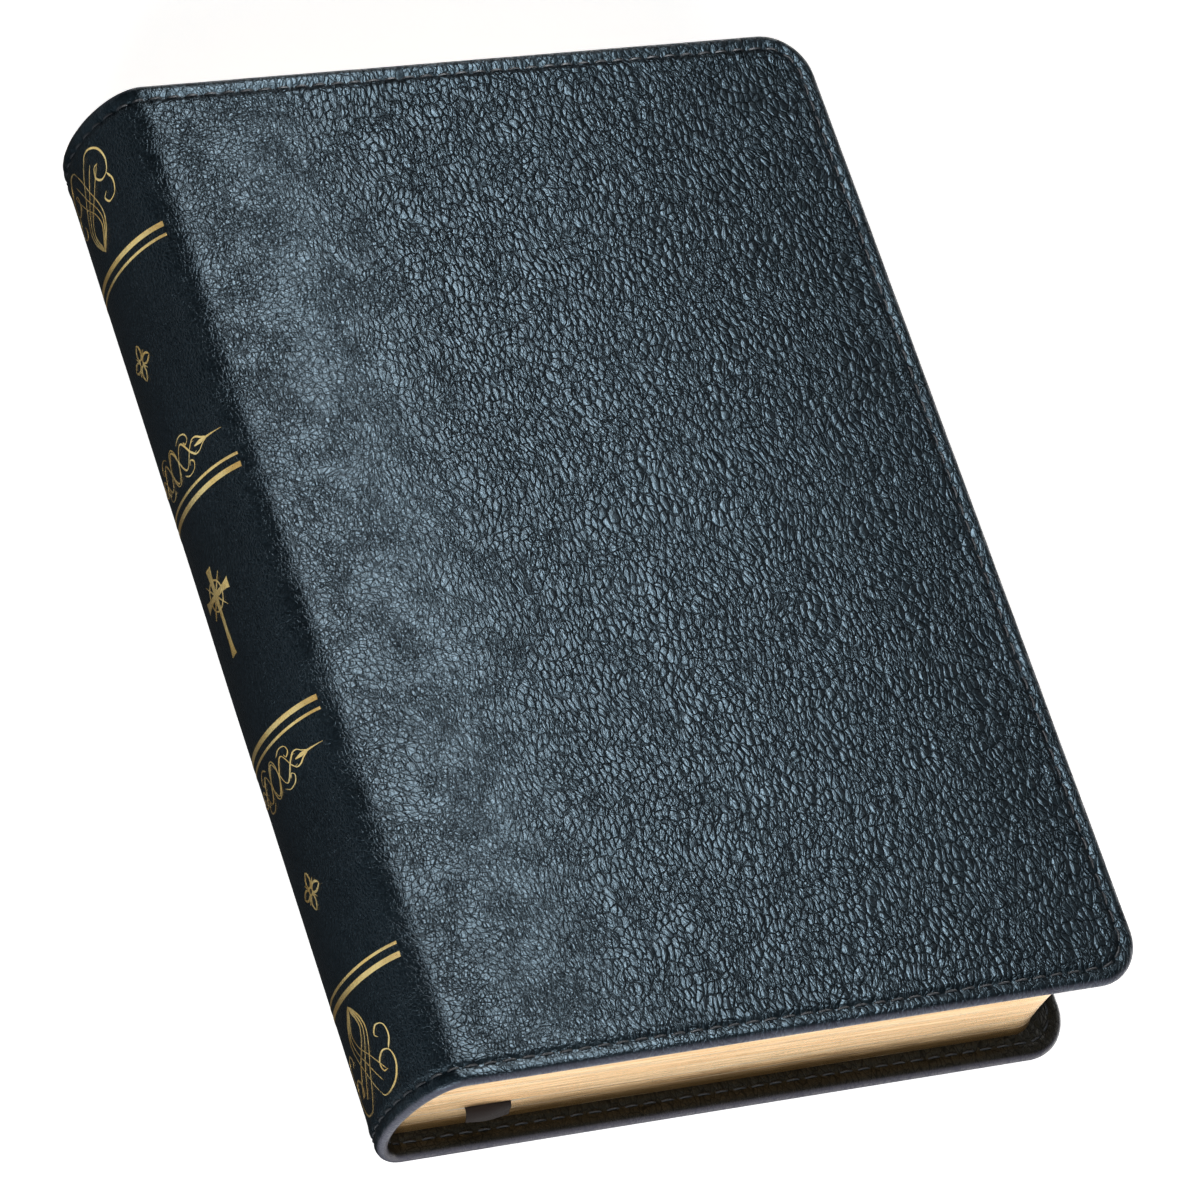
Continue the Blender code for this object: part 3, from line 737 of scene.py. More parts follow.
bend(cover_front, B_FRONT_COVER, "leather", "front_cover_leather")
bend(cover_back, B_BACK_COVER, "leather", "back_cover_leather")
bend(spine_low, B_LOW, "leather", "back_joint_leather")
bend(spine_skin, B_HIGH, "leather", "spine_leather", "front_joint_leather")


# ------------------------------------------------------------------ tube pieces
class Gather:
    """Collects many small closed meshes into one."""

    def __init__(self):
        self.v, self.f, self.a, self.n = [], [], [], 0

    def add(self, verts, faces, skin):
        self.v.append(np.asarray(verts, float))
        self.a.append(np.asarray(skin, float))
        self.f.extend([[i + self.n for i in f] for f in faces])
        self.n += len(verts)

    def make(self, name, mats, sharp=60):
        v = np.concatenate(self.v)
        return new_object(name, world(v), self.f, mats, None, {"skin": np.concatenate(self.a)}, sharp)


def capsule(g, pts, up, radius, sides=8, squash=0.8):
    """A stitch: a short round body along pts with closed, tapered ends."""
    pts = np.asarray(pts, float)
    n = len(pts)
    tang = np.gradient(pts, axis=0)
    tang /= np.linalg.norm(tang, axis=1)[:, None]
    side = np.cross(tang, up)
    side /= np.linalg.norm(side, axis=1)[:, None]
    nor = np.cross(side, tang)
    ang = np.linspace(0, 2 * math.pi, sides, endpoint=False)
    verts, skin = [], []
    run = np.concatenate([[0], np.cumsum(np.linalg.norm(np.diff(pts, axis=0), axis=1))])
    for i in range(n):
        r = radius[i]
        for a in ang:
            verts.append(pts[i] + side[i] * math.cos(a) * r + nor[i] * math.sin(a) * r * squash)
            skin.append((run[i] + pts[i][0], a * 0.25 + pts[i][1], 0))
    faces = []
    for i in range(n - 1):
        for j in range(sides):
            k = (j + 1) % sides
            faces.append([i * sides + j, i * sides + k, (i + 1) * sides + k, (i + 1) * sides + j])
    faces.append([j for j in range(sides)][::-1])
    faces.append([(n - 1) * sides + j for j in range(sides)])
    g.add(verts, faces, skin)


def cover_path_point(p):
    """Place along a cover's stitch line -> x, y."""
    p = np.asarray(p, float)
    x = np.empty_like(p)
    y = np.empty_like(p)
    a, b, c, d = L1, L1 + ARC, L1 + ARC + L2, L1 + 2 * ARC + L2
    m = p <= a
    x[m], y[m] = X_SEAM + p[m], STITCH
    m = (p > a) & (p <= b)
    th = (p[m] - a) / PATH_R
    x[m], y[m] = W - CORNER + PATH_R * np.sin(th), CORNER - PATH_R * np.cos(th)
    m = (p > b) & (p <= c)
    x[m], y[m] = W - STITCH, CORNER + (p[m] - b)
    m = (p > c) & (p <= d)
    th = (p[m] - c) / PATH_R
    x[m], y[m] = W - CORNER + PATH_R * np.cos(th), H - CORNER + PATH_R * np.sin(th)
    m = p > d
    x[m], y[m] = W - CORNER - (p[m] - d), H - STITCH
    return x, y


def stitch_row(g, point_of, count, pitch, cover, front, inner, first=0, last=None):
    last = count if last is None else last
    for i in range(first, last):
        t = np.linspace(0.10, 0.90, 8)
        s, y = point_of((i + t) * pitch)
        pos, nor = surface(s, y, front, cover, inner=inner)
        if inner:
            nor = -nor
        arch = np.sin(math.pi * (t - 0.10) / 0.80)
        jit = rng.normal(0, 0.03)
        lift = -0.26 + 0.44 * arch**0.6
        pos = pos + nor * lift[:, None]
        lean = rng.normal(0, 0.06)
        pos[:, 1] += lean * (t - 0.5) + jit * 0.6
        radius = 0.25 * (0.75 + 0.3 * arch**0.5)
        up = nor
        capsule(g, pos, up, radius)


def cover_stitches(name, front, how, nodes):
    def point_of(p):
        x, y = cover_path_point(p)
        s = (x - X_SEAM + S_FRONT) if front else (S_BACK - (x - X_SEAM))
        return s, y

    g = Gather()
    for inner in (False, True):
        stitch_row(g, point_of, N_COVER, PITCH_C, True, front, inner)
    obj = g.make(name, [M_THREAD])
    bend(obj, how, "stitching", *nodes)
    return obj


cover_stitches("front_cover_stitches", True, B_FRONT_COVER, ["front_cover_stitching"])
cover_stitches("back_cover_stitches", False, B_BACK_COVER, ["back_cover_stitching"])

n_low = int(math.floor((S_CUT - S_BACK) / PITCH_S))
for part, first, last, how, nodes in (
    ("back_joint_stitches", 0, n_low, B_LOW, []),
    ("spine_stitches", n_low, N_SPINE, B_HIGH, ["spine_head_stitching", "spine_tail_stitching"]),
):
    g = Gather()
    for y_at in (STITCH, H - STITCH):
        for inner in (False, True):
            stitch_row(
                g,
                lambda p, y_at=y_at: (S_BACK + p, np.full_like(p, y_at)),
                N_SPINE,
                PITCH_S,
                False,
                True,
                inner,
                first,
                last,
            )
    obj = g.make(part, [M_THREAD])
    bend(obj, how, "stitching", *nodes)


# ------------------------------------------------------------------ linings
def slab(name, outline_of, z0, z1, mats, xs, ys, r=0.25):
    """A thin flat panel with softly rounded edges, on a grid."""
    X, Y = np.meshgrid(xs, ys, indexing="ij")
    X, Y, D = outline_of(X, Y)
    n, m = X.shape
    drop = roll(np.maximum(D, 0), r)
    ring = D < 1e-6
    idx_t = np.arange(n * m).reshape(n, m)
    idx_b = idx_t.copy()
    free = ~ring
    idx_b[free] = n * m + np.arange(int(free.sum()))
    top = np.stack([X, Y, z1 - drop * 1.0 * np.sign(z1 - z0)], -1).reshape(-1, 3)
    zb = z0 + drop * np.sign(z1 - z0)
    top[ring.reshape(-1), 2] = z1 - r * np.sign(z1 - z0)
    bot = np.stack([X, Y, zb], -1)[free]
    verts = np.concatenate([top, bot])
    skin = verts.copy()
    up = z1 > z0

    def quads(idx, flip):
        a, b, c, d = idx[:-1, :-1], idx[1:, :-1], idx[1:, 1:], idx[:-1, 1:]
        q = np.stack([a, b, c, d], -1).reshape(-1, 4)
        return q[:, ::-1] if flip else q

    faces = [list(f) for f in quads(idx_t, not up)] + [list(f) for f in quads(idx_b, up)]
    return verts, skin, faces


def inset_rect(x0, x1, y0, y1, r):
    """Maps a rectangle's grid to one with two rounded corners at x1."""

    def go(X, Y):
        cx = x1 - r
        for low in (True, False):
            v = (y0 + r - Y) / r if low else (Y - (y1 - r)) / r
            u = (X - cx) / r
            ins = (u > 0) & (v > 0)
            u2 = np.where(ins, u * np.sqrt(np.clip(1 - v * v / 2, 0, 1)), u)
            v2 = np.where(ins, v * np.sqrt(np.clip(1 - u * u / 2, 0, 1)), v)
            X = np.where(ins, cx + u2 * r, X)
            Y = np.where(ins, (y0 + r - v2 * r) if low else (y1 - r + v2 * r), Y)
        dx, dl, dh = X - cx, y0 + r - Y, Y - (y1 - r)
        D = np.minimum(np.minimum(X - x0, x1 - X), np.minimum(Y - y0, y1 - Y))
        D = np.where((dx > 0) & (dl > 0), r - np.hypot(dx, dl), D)
        D = np.where((dx > 0) & (dh > 0), r - np.hypot(dx, dh), D)
        D = np.where(np.abs(D) < 1e-5, 0, D)
        return X, Y, D

    return go


for side in ("front", "back"):
    x0, x1, y0, y1 = 12.8, W - HEM - 0.3, HEM + 0.3, H - HEM - 0.3
    e = np.array([0, 0.05, 0.14, 0.28, 0.9])
    xs = np.concatenate([x0 + e, np.linspace(x0 + 2.2, x1 - 2.2, 60), (x1 - e)[::-1]])
    ys = np.concatenate([y0 + e, np.linspace(y0 + 2.2, y1 - 2.2, 70), (y1 - e)[::-1]])
    z0, z1 = (COVER_T - 0.98, COVER_T - 0.06) if side == "back" else (T - COVER_T + 0.98, T - COVER_T + 0.06)
    verts, skin, faces = slab(side, inset_rect(x0, x1, y0, y1, 2.0), z0, z1, None, xs, ys)
    skin = skin + np.array([500.0 if side == "front" else 900.0, 0, 0])
    obj = new_object(
        f"{side}_lining_panel", world(verts), faces, [M_LINING], None, {"skin": skin, "edge_d": np.full(len(verts), 9.0)}, 50
    )
    bend(obj, B_FRONT_COVER if side == "front" else B_BACK_COVER, "lining", f"{side}_cover_lining")

# ------------------------------------------------------------------ gold foil
FOIL_TOP, FOIL_BASE = 0.05, -0.10


def spine_point(a, y, off):
    """a: distance round the spine from its middle, up towards the front cover."""
    pos, nor = surface(S_MID + np.asarray(a, float), np.asarray(y, float), True, False)
    return pos + nor * np.asarray(off, float)[..., None]


def stroke(g, pts, half_w):
    """A closed, slightly raised pen stroke along pts in the (a, y) plane."""
    pts = np.asarray(pts, float)
    w = np.broadcast_to(np.asarray(half_w, float), len(pts)).copy()
    tang = np.gradient(pts, axis=0)
    tang /= np.maximum(np.linalg.norm(tang, axis=1), 1e-9)[:, None]
    nor = np.stack([-tang[:, 1], tang[:, 0]], -1)
    w = np.maximum(w, 0.03)
    left, right = pts + nor * w[:, None], pts - nor * w[:, None]
    n = len(pts)
    rows = []
    for plane, off in ((left, FOIL_BASE), (left, FOIL_TOP - 0.012), (pts, FOIL_TOP), (right, FOIL_TOP - 0.012), (right, FOIL_BASE)):
        rows.append(spine_point(plane[:, 0], plane[:, 1], np.full(n, off)))
    ring = len(rows)
    verts = np.stack(rows, 1).reshape(-1, 3)
    skin = np.stack([np.stack([q[:, 0], q[:, 1], np.zeros(n)], -1) for q in (left, left, pts, right, right)], 1).reshape(-1, 3)
    faces = []
    for i in range(n - 1):
        for j in range(ring):
            k = (j + 1) % ring
            faces.append([i * ring + j, i * ring + k, (i + 1) * ring + k, (i + 1) * ring + j])
    faces.append(list(range(ring))[::-1])
    faces.append([(n - 1) * ring + j for j in range(ring)])
    g.add(verts, faces, skin)


def taper(n, w, power=0.7, floor=0.12):
    t = np.linspace(0, 1, n)
    return w * (floor + (1 - floor) * np.sin(math.pi * t) ** power)


def bezier(p0, p1, p2, p3, n=24):
    t = np.linspace(0, 1, n)[:, None]
    p0, p1, p2, p3 = (np.asarray(p, float) for p in (p0, p1, p2, p3))
    return (1 - t) ** 3 * p0 + 3 * (1 - t) ** 2 * t * p1 + 3 * (1 - t) * t * t * p2 + t**3 * p3


def fix_normals(obj):
    import bmesh

    bm = bmesh.new()
    bm.from_mesh(obj.data)
    bmesh.ops.recalc_face_normals(bm, faces=bm.faces)
    bm.to_mesh(obj.data)
    bm.free()


A_TOP = s_of_z(36.1) - S_MID
A_CUT = S_CUT - S_MID
RULES = {
    "spine_rule_1": (189.1, 1.15),
    "spine_rule_2": (186.7, 0.6),
    "spine_rule_3": (137.1, 0.6),
    "spine_rule_4": (134.7, 1.15),
    "spine_rule_5": (83.4, 1.15),
    "spine_rule_6": (81.0, 0.6),
    "spine_rule_7": (30.9, 0.6),
    "spine_rule_8": (28.5, 1.15),
}
low_g = Gather()
for name, (y_mid, width) in RULES.items():
    lo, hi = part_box(name)
    y_mid = (lo[1] + hi[1]) / 2 * 1000 + H / 2
    width = (hi[1] - lo[1]) * 1000
    g = Gather()
    a = np.linspace(A_CUT, A_TOP, 60)
    stroke(g, np.stack([a, np.full_like(a, y_mid)], -1), width / 2)
    obj = g.make(name + "_foil", [M_FOIL], 40)
    fix_normals(obj)
    bend(obj, B_HIGH, "foil", name)
    a = np.linspace(-A_TOP, A_CUT, 24)
    stroke(low_g, np.stack([a, np.full_like(a, y_mid)], -1), width / 2)
obj = low_g.make("back_joint_rule_ends", [M_FOIL], 40)
fix_normals(obj)
bend(obj, B_LOW, "foil")


def spiral(cx, cy, r0, r1, a0, turns, n=40, sx=1.0, sy=1.0):
    t = np.linspace(0, 1, n)
    a = a0 + 2 * math.pi * turns * t
    r = r0 + (r1 - r0) * t
    return np.stack([cx + sx * r * np.cos(a), cy + sy * r * np.sin(a)], -1)


def through(points, n=14):
    """A smooth line through the points."""
    p = np.asarray(points, float)
    p = np.concatenate([[2 * p[0] - p[1]], p, [2 * p[-1] - p[-2]]])
    out = []
    for i in range(1, len(p) - 2):
        t = np.linspace(0, 1, n, endpoint=i == len(p) - 3)[:, None]
        a, b, c, d = p[i - 1], p[i], p[i + 1], p[i + 2]
        out.append(0.5 * (2 * b + (c - a) * t + (2 * a - 5 * b + 4 * c - d) * t**2 + (3 * b - a - 3 * c + d) * t**3))
    return np.concatenate(out)


def nib(pts, thin=0.09, thick=0.36, angle=0.7):
    """Pen width by direction, tapering at both ends."""
    d = np.gradient(np.asarray(pts, float), axis=0)
    a = np.arctan2(d[:, 1], d[:, 0])
    w = thin + (thick - thin) * np.abs(np.sin(a - angle)) ** 1.6
    t = np.linspace(0, 1, len(pts))
    return w * np.clip(np.minimum(t, 1 - t) * 14, 0.2, 1)


def scroll(g, cy, up):
    """A large woven knot with volutes, the same on both sides of the spine's middle."""
    for side in (-1, 1):

        def put(points, thin=0.09, thick=0.24):
            line = through(points)
            stroke(g, line * [side, up] + [0, cy], nib(line, thin, thick))

        for k in range(3):
            # three sweeps that cross the other side's three and close on the lower tip
            put([(2.2 + 2.3 * k, 8.4 - 1.3 * k), (0.9 + 2.1 * k, 6.6 - 1.4 * k), (-1.0 + 1.7 * k, 3.2 - 1.2 * k), (-3.2 + 1.2 * k, -0.6 - 0.8 * k), (-4.2 + k, -3.8 - 0.6 * k), (-3.4 + 0.9 * k, -6.6 - 0.3 * k), (-1.6 + 0.5 * k, -8.8), (0, -10.4)], 0.09, 0.21)
        put([(2.2, 8.4), (3.6, 9.8), (6.0, 9.9), (8.6, 8.4), (9.9, 5.6), (9.2, 3.0), (7.0, 2.2), (5.2, 3.6), (5.6, 5.6), (7.2, 5.9)], 0.10, 0.25)
        put([(8.9, 2.8), (10.2, 0.4), (9.6, -2.2), (7.4, -3.0), (6.2, -1.6), (7.2, -0.6)], 0.09, 0.22)


def finial(g, cy, up):
    """Two plaited strands that run out into long pointed tips."""
    a = np.linspace(-9.2, 9.2, 150)
    swell = 3.3 * np.clip(1 - (a / 10.6) ** 2, 0, 1) ** 0.8
    for sign in (-1, 1):
        line = np.stack([a, sign * swell * np.sin(a * math.pi / 4.7 + 0.5 * math.pi)], -1)
        stroke(g, line * [1, up] + [0, cy], nib(line, 0.08, 0.21))
    ring = np.linspace(0, 2 * math.pi, 60)
    line = np.stack([2.0 * np.cos(ring), 3.9 * np.sin(ring)], -1)
    stroke(g, line * [1, up] + [0, cy], 0.08 + 0.08 * np.abs(np.cos(ring)))
    for side in (-1, 1):
        for bow in (-1, 1):
            line = through([(7.4, 0.3 * bow), (8.6, 1.5 * bow), (10.0, 1.55 * bow), (11.4, 0.7 * bow), (12.8, 0.1 * bow)])
            stroke(g, line * [side, up] + [0, cy], nib(line, 0.08, 0.20))
            line = through([(3.0, 3.4 * bow), (4.8, 4.3 * bow), (6.8, 3.9 * bow), (7.5, 2.6 * bow), (6.5, 1.8 * bow), (5.8, 2.6 * bow)])
            stroke(g, line * [side, up] + [0, cy], nib(line, 0.07, 0.17))
        point = np.stack([np.linspace(9.0, 16.8, 30) * side, np.full(30, float(cy))], -1)
        stroke(g, point, np.interp(np.linspace(0, 1, 30), [0, 0.25, 0.5, 1], [0.12, 0.45, 0.22, 0.04]))


def clip_low(name, maker, *nodes):
    g = Gather()
    maker(g)
    obj = g.make(name, [M_FOIL], 40)
    fix_normals(obj)
    bend(obj, B_HIGH, "foil", *nodes)
    return obj


clip_low("spine_head_scroll", lambda g: scroll(g, 203.6, 1))
clip_low("spine_tail_scroll", lambda g: scroll(g, 15.8, -1))
clip_low("spine_upper_finial", lambda g: finial(g, 143.6, 1))
clip_low("spine_lower_finial", lambda g: finial(g, 74.6, -1))


def cross(g):
    lo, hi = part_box("spine_cross")
    cy = (lo[1] + hi[1]) / 2 * 1000 + H / 2
    hh, hw = (hi[1] - lo[1]) * 500, (hi[2] - lo[2]) * 500
    arm = cy + 2 * hh * 0.19

    def flare(n):
        t = np.abs(np.linspace(-1, 1, n))
        return 0.62 + 0.62 * t**4

    y = np.linspace(cy - hh, cy + hh, 40)
    stroke(g, np.stack([np.zeros(40), y], -1), flare(40))
    a = np.linspace(-hw, hw, 36)
    stroke(g, np.stack([a, np.full(36, arm)], -1), flare(36))
    ring = np.linspace(0, 2 * math.pi, 60)
    stroke(g, np.stack([3.1 * np.cos(ring), arm + 3.1 * np.sin(ring)], -1), 0.2)
    for k in range(4):
        q = math.pi / 4 + k * math.pi / 2
        ray = np.stack([np.linspace(1.1, 5.2, 16) * math.cos(q), arm + np.linspace(1.1, 5.2, 16) * math.sin(q)], -1)
        stroke(g, ray, np.linspace(0.22, 0.04, 16))


clip_low("spine_cross_foil", cross, "spine_cross")


def rosette(node):
    def make(g):
        lo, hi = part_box(node)
        cy = (lo[1] + hi[1]) / 2 * 1000 + H / 2
        r = (hi[1] - lo[1]) * 500
        for k in range(4):
            q = k * math.pi / 2
            u = np.array([math.cos(q), math.sin(q)])
            v = np.array([-u[1], u[0]])
            for bow in (-1, 1):
                petal = bezier(u * 0.5, u * r * 0.45 + v * bow * r * 0.42, u * r * 0.8 + v * bow * r * 0.22, u * r, 20) + [0, cy]
                stroke(g, petal, taper(20, 0.26))
            q2 = q + math.pi / 4
            ray = np.stack([np.linspace(0.8, r * 0.72, 14) * math.cos(q2), cy + np.linspace(0.8, r * 0.72, 14) * math.sin(q2)], -1)
            stroke(g, ray, np.linspace(0.26, 0.05, 14))
        ring = np.linspace(0, 2 * math.pi, 40)
        stroke(g, np.stack([0.75 * np.cos(ring), cy + 0.75 * np.sin(ring)], -1), 0.2)

    return make


clip_low("spine_upper_rosette", rosette("spine_upper_ornament"), "spine_upper_ornament")
clip_low("spine_lower_rosette", rosette("spine_lower_ornament"), "spine_lower_ornament")

# ------------------------------------------------------------------ pages
BLOCK_A, BLOCK_B = 6.4, 16.2
FORE, HOLLOW = 153.6, 2.6
PY0, PY1 = 5.3, H - 5.3
PAGE_R = 6.0


def px0(z):
    return A_SPINE - BLOCK_A * np.sqrt(np.maximum(0, 1 - ((z - MID) / BLOCK_B) ** 2))


def px1(z):
    return FORE - HOLLOW * np.sqrt(np.maximum(0, 1 - ((z - MID) / BLOCK_B) ** 2))


RIB = np.array([[12.8, 213.6], [15.6, 160.0], [19.0, 100.0], [23.2, 40.0], [26.3, 5.3]])


def ribbon_x(y):
    order = np.argsort(RIB[:, 1])
    return np.interp(y, RIB[order, 1], RIB[order, 0])


def page_grid():
    u = np.concatenate([np.linspace(0, 0.16, 12), np.linspace(0.19, 0.955, 24), np.linspace(0.965, 1, 6)])
    v = np.concatenate([np.linspace(0, 0.03, 5), np.linspace(0.05, 0.95, 34), np.linspace(0.97, 1, 5)])
    return np.meshgrid(u, v, indexing="ij")


PU, PV = page_grid()


def page_layer(z, jitter, x0=None):
    """The grid of one level of paper, with rounded fore-edge corners."""
    a = px0(z) if x0 is None else x0
    b = px1(z)
    X = a + (b - a) * PU
    Y = PY0 + (PY1 - PY0) * PV
    go = inset_rect(a, b, PY0, PY1, PAGE_R)
    X, Y, _ = go(X, Y)
    # each gathering's edge is a little uneven
    push_y = jitter * (np.where(PV < 0.5, 1, -1))
    edge = (PV == 0) | (PV == 1)
    Y = Y + np.where(edge, push_y * (0.6 + 0.4 * np.sin(X * 0.11 + z * 5)), 0)
    X = X - np.where(PU == 1, jitter * (0.6 + 0.4 * np.sin(Y * 0.09 + z * 7)), 0)
    return X, Y


def ring_index():
    n, m = PU.shape
    idx = np.arange(n * m).reshape(n, m)
    loop = list(idx[:, 0]) + list(idx[-1, 1:]) + list(idx[::-1, -1][1:]) + list(idx[0, ::-1][1:-1])
    kind = (
        [1] * (n - 1) + [1] * (m - 1) + [1] * (n - 1) + [2] * (m - 1)
    )  # gilt on tail, fore-edge, head; the back is glued
    return np.array(loop), kind


LOOP, KIND = ring_index()


def page_block(name, z0, z1, mats, step=0.3, x0=None, dent_low=None, dent_high=None, sheet_jitter=0.05):
    levels = max(1, int(round((z1 - z0) / step)))
    zs = np.linspace(z0, z1, levels + 1)
    gen = np.random.default_rng(int(z0 * 1000) + 5)
    verts, skin, faces, mat = [], [], [], []
    n, m = PU.shape
    # bottom and top caps as whole grids, levels between as rings only
    rings = []
    count = 0
    for k, z in enumerate(zs):
        jit = float(gen.uniform(0, sheet_jitter))
        X, Y = page_layer(z, jit, x0)
        if k in (0, levels):
            dz = np.zeros_like(X)
            if k == 0 and dent_low is not None:
                dz = dent_low(X, Y)
            if k == levels and dent_high is not None:
                dz = dent_high(X, Y)
            pts = np.stack([X, Y, np.full_like(X, z) + dz], -1).reshape(-1, 3)
            verts.append(pts)
            skin.append(pts)
            rings.append(count + LOOP)
            idx = count + np.arange(n * m).reshape(n, m)
            a, b, c, d = idx[:-1, :-1], idx[1:, :-1], idx[1:, 1:], idx[:-1, 1:]
            q = np.stack([a, b, c, d], -1).reshape(-1, 4)
            if k == 0:
                q = q[:, ::-1]
            faces.extend(q.tolist())
            mat.extend([0] * len(q))
            count += n * m
        else:
            pts = np.stack([X, Y, np.full_like(X, z)], -1).reshape(-1, 3)[LOOP]
            if dent_low is not None:
                share = 1 - k / levels
                pts[:, 2] += dent_low(pts[:, 0], pts[:, 1]) * share**2
            if dent_high is not None:
                share = k / levels
                pts[:, 2] += dent_high(pts[:, 0], pts[:, 1]) * share**2
            verts.append(pts)
            skin.append(pts)
            rings.append(count + np.arange(len(LOOP)))
            count += len(LOOP)
    for r0, r1 in zip(rings, rings[1:]):
        L = len(r0)
        for i in range(L):
            j = (i + 1) % L
            faces.append([int(r0[i]), int(r0[j]), int(r1[j]), int(r1[i])])
            mat.append(KIND[i])
    verts = np.concatenate(verts)
    return new_object(name, world(verts), faces, mats, mat, {"skin": np.concatenate(skin)}, 40)


def box_z(node):
    lo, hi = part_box(node)
    return lo[2] * 1000, hi[2] * 1000


PAGE_MATS = [M_PAPER, M_GILT, M_LINEN]
END_MATS = [M_END, M_GILT, M_LINEN]
B_BACK_PAGES = ("spine", "back_block", wpt(3.6, 0, 18.5), wpt(10.6, 0, 5.4))
B_FRONT_PAGES = ("spine", "front_block", wpt(3.6, 0, T - 18.5), wpt(10.6, 0, T - 5.4))

z_top7, z_low6 = box_z("signature_7")[1], box_z("signature_6")[0]
z_rib = (z_top7 + z_low6) / 2


def near_ribbon(x, y):
    return 1 - smooth(np.abs(x - ribbon_x(y)), 5.2, 9.5)


for k in range(1, 9):
    z0, z1 = box_z(f"signature_{k}")
    low = high = None
    z0 -= 0.13
    z1 += 0.13
    if k == 5:
        z1 = 18.60
    if k == 4:
        z0 = T - 18.60
    if k == 7:
        z1 = z_rib - 0.05
        high = lambda x, y: -0.20 * near_ribbon(x, y)
    if k == 6:
        z0 = z_rib + 0.05
        low = lambda x, y: 0.20 * near_ribbon(x, y)
    if k == 3:
        z0 = T - z_rib + 0.02
    if k == 2:
        z1 = T - z_rib - 0.02
    if k == 3:
        z0, z1 = box_z("signature_3")[0] - 0.13, T - z_rib - 0.03
    if k == 2:
        z0, z1 = T - z_rib + 0.03, box_z("signature_2")[1] + 0.13
    obj = page_block(f"pages_{k}", z0, z1, PAGE_MATS, dent_low=low, dent_high=high)
    bend(obj, B_FRONT_PAGES if k < 5 else B_BACK_PAGES, "pages", f"signature_{k}")

for side in ("front", "back"):
    z0, z1 = box_z(f"{side}_flyleaf")
    if side == "back":
        z0, z1 = z0 - 0.02, z1 + 0.04
    else:
        z0, z1 = z0 - 0.04, z1 + 0.02
    obj = page_block(f"{side}_flyleaf_sheet", z0, z1, END_MATS, 0.2)
    bend(obj, B_FRONT_PAGES if side == "front" else B_BACK_PAGES, "flyleaf", f"{side}_flyleaf")

for name, z0, z1 in (("leaf_1", MID + 0.04, MID + 0.33), ("leaf_2", MID - 0.33, MID - 0.04)):
    obj = page_block(f"{name}_sheet", z0, z1, PAGE_MATS, 0.15, x0=4.1, sheet_jitter=0.02)
    zc = (z0 + z1) / 2
    bend(obj, ("spine", name, wpt(4.2, 0, zc), wpt(30, 0, zc)), "pages", name)


# ------------------------------------------------------------------ ribbon
def ribbon():
    """A satin ribbon laid between two gatherings; its end droops from the tail."""
    ys = np.concatenate([np.linspace(213.4, 8.0, 60), np.linspace(7.0, 5.2, 5)])
    xs = ribbon_x(ys)
    line = [np.array([x, y, z_rib]) for x, y in zip(xs, ys)]
    p = line[-1].copy()
    ang = 0.0
    for i in range(9):
        ang = min(1.2, ang + 0.19)
        p = p + 0.36 * np.array([0.035, -math.cos(ang), -math.sin(ang)])
        line.append(p.copy())
    line = np.array(line)
    tang = np.gradient(line, axis=0)
    tang /= np.linalg.norm(tang, axis=1)[:, None]
    cols = 11
    half, thick = 4.9, 0.12
    n = len(line)
    top, bot = [], []
    sk = []
    run = np.concatenate([[0], np.cumsum(np.linalg.norm(np.diff(line, axis=0), axis=1))])
    for i in range(n):
        side = np.cross(tang[i], [0, 0, 1.0])
        side /= np.linalg.norm(side)
        nor = np.cross(side, tang[i])
        nor = nor if nor[2] > 0 else -nor
        outside = smooth(run[i], run[-1] - 5.0, run[-1])
        for c in range(cols):
            q = -1 + 2 * c / (cols - 1)
            slant = 0.9 * q * (1 if i == n - 1 else 0)
            cup = -0.35 * outside * (q * q - 0.3) + 0.12 * outside * math.sin(3 * q + 1)
            base = line[i] + side * q * half * (1 - 0.0 * outside) + nor * cup - tang[i] * slant * 0.5
            edge = 1 - 0.35 * (abs(q) > 0.95)
            top.append(base + nor * thick * edge)
            bot.append(base - nor * thick * edge)
            sk.append((q * half, run[i], 0))
    verts = np.array(top + bot)
    skin = np.array(sk + sk)
    idx = np.arange(n * cols).reshape(n, cols)
    a, b, c_, d = idx[:-1, :-1], idx[1:, :-1], idx[1:, 1:], idx[:-1, 1:]
    q = np.stack([a, b, c_, d], -1).reshape(-1, 4)
    faces = q.tolist() + (q[:, ::-1] + n * cols).tolist()
    rim = list(idx[:, 0]) + list(idx[-1, 1:]) + list(idx[::-1, -1][1:]) + list(idx[0, ::-1][1:-1])
    for i in range(len(rim)):
        j = (i + 1) % len(rim)
        faces.append([int(rim[j]), int(rim[i]), int(rim[i]) + n * cols, int(rim[j]) + n * cols])
    obj = new_object("ribbon_marker_satin", world(verts), faces, [M_RIBBON], None, {"skin": skin}, 60)
    fix_normals(obj)
    return obj, float(run[-1])


rib, rib_len = ribbon()
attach(rib, "back_block")
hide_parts("ribbon_marker")

# ------------------------------------------------------------------ carried CAD pieces
for node, mat in (
    ("spine_stiffener", M_BOARD),
    ("front_cover_board", M_BOARD),
    ("back_cover_board", M_BOARD),
    ("spine_mull", M_LINEN),
    ("front_sewing_thread", M_LINEN),
    ("back_sewing_thread", M_LINEN),
):
    o = frame["nodes"][node]
    o.data.materials.clear()
    o.data.materials.append(mat)
    o.data.shade_smooth()
    o.data.set_sharp_from_angle(angle=math.radians(35))

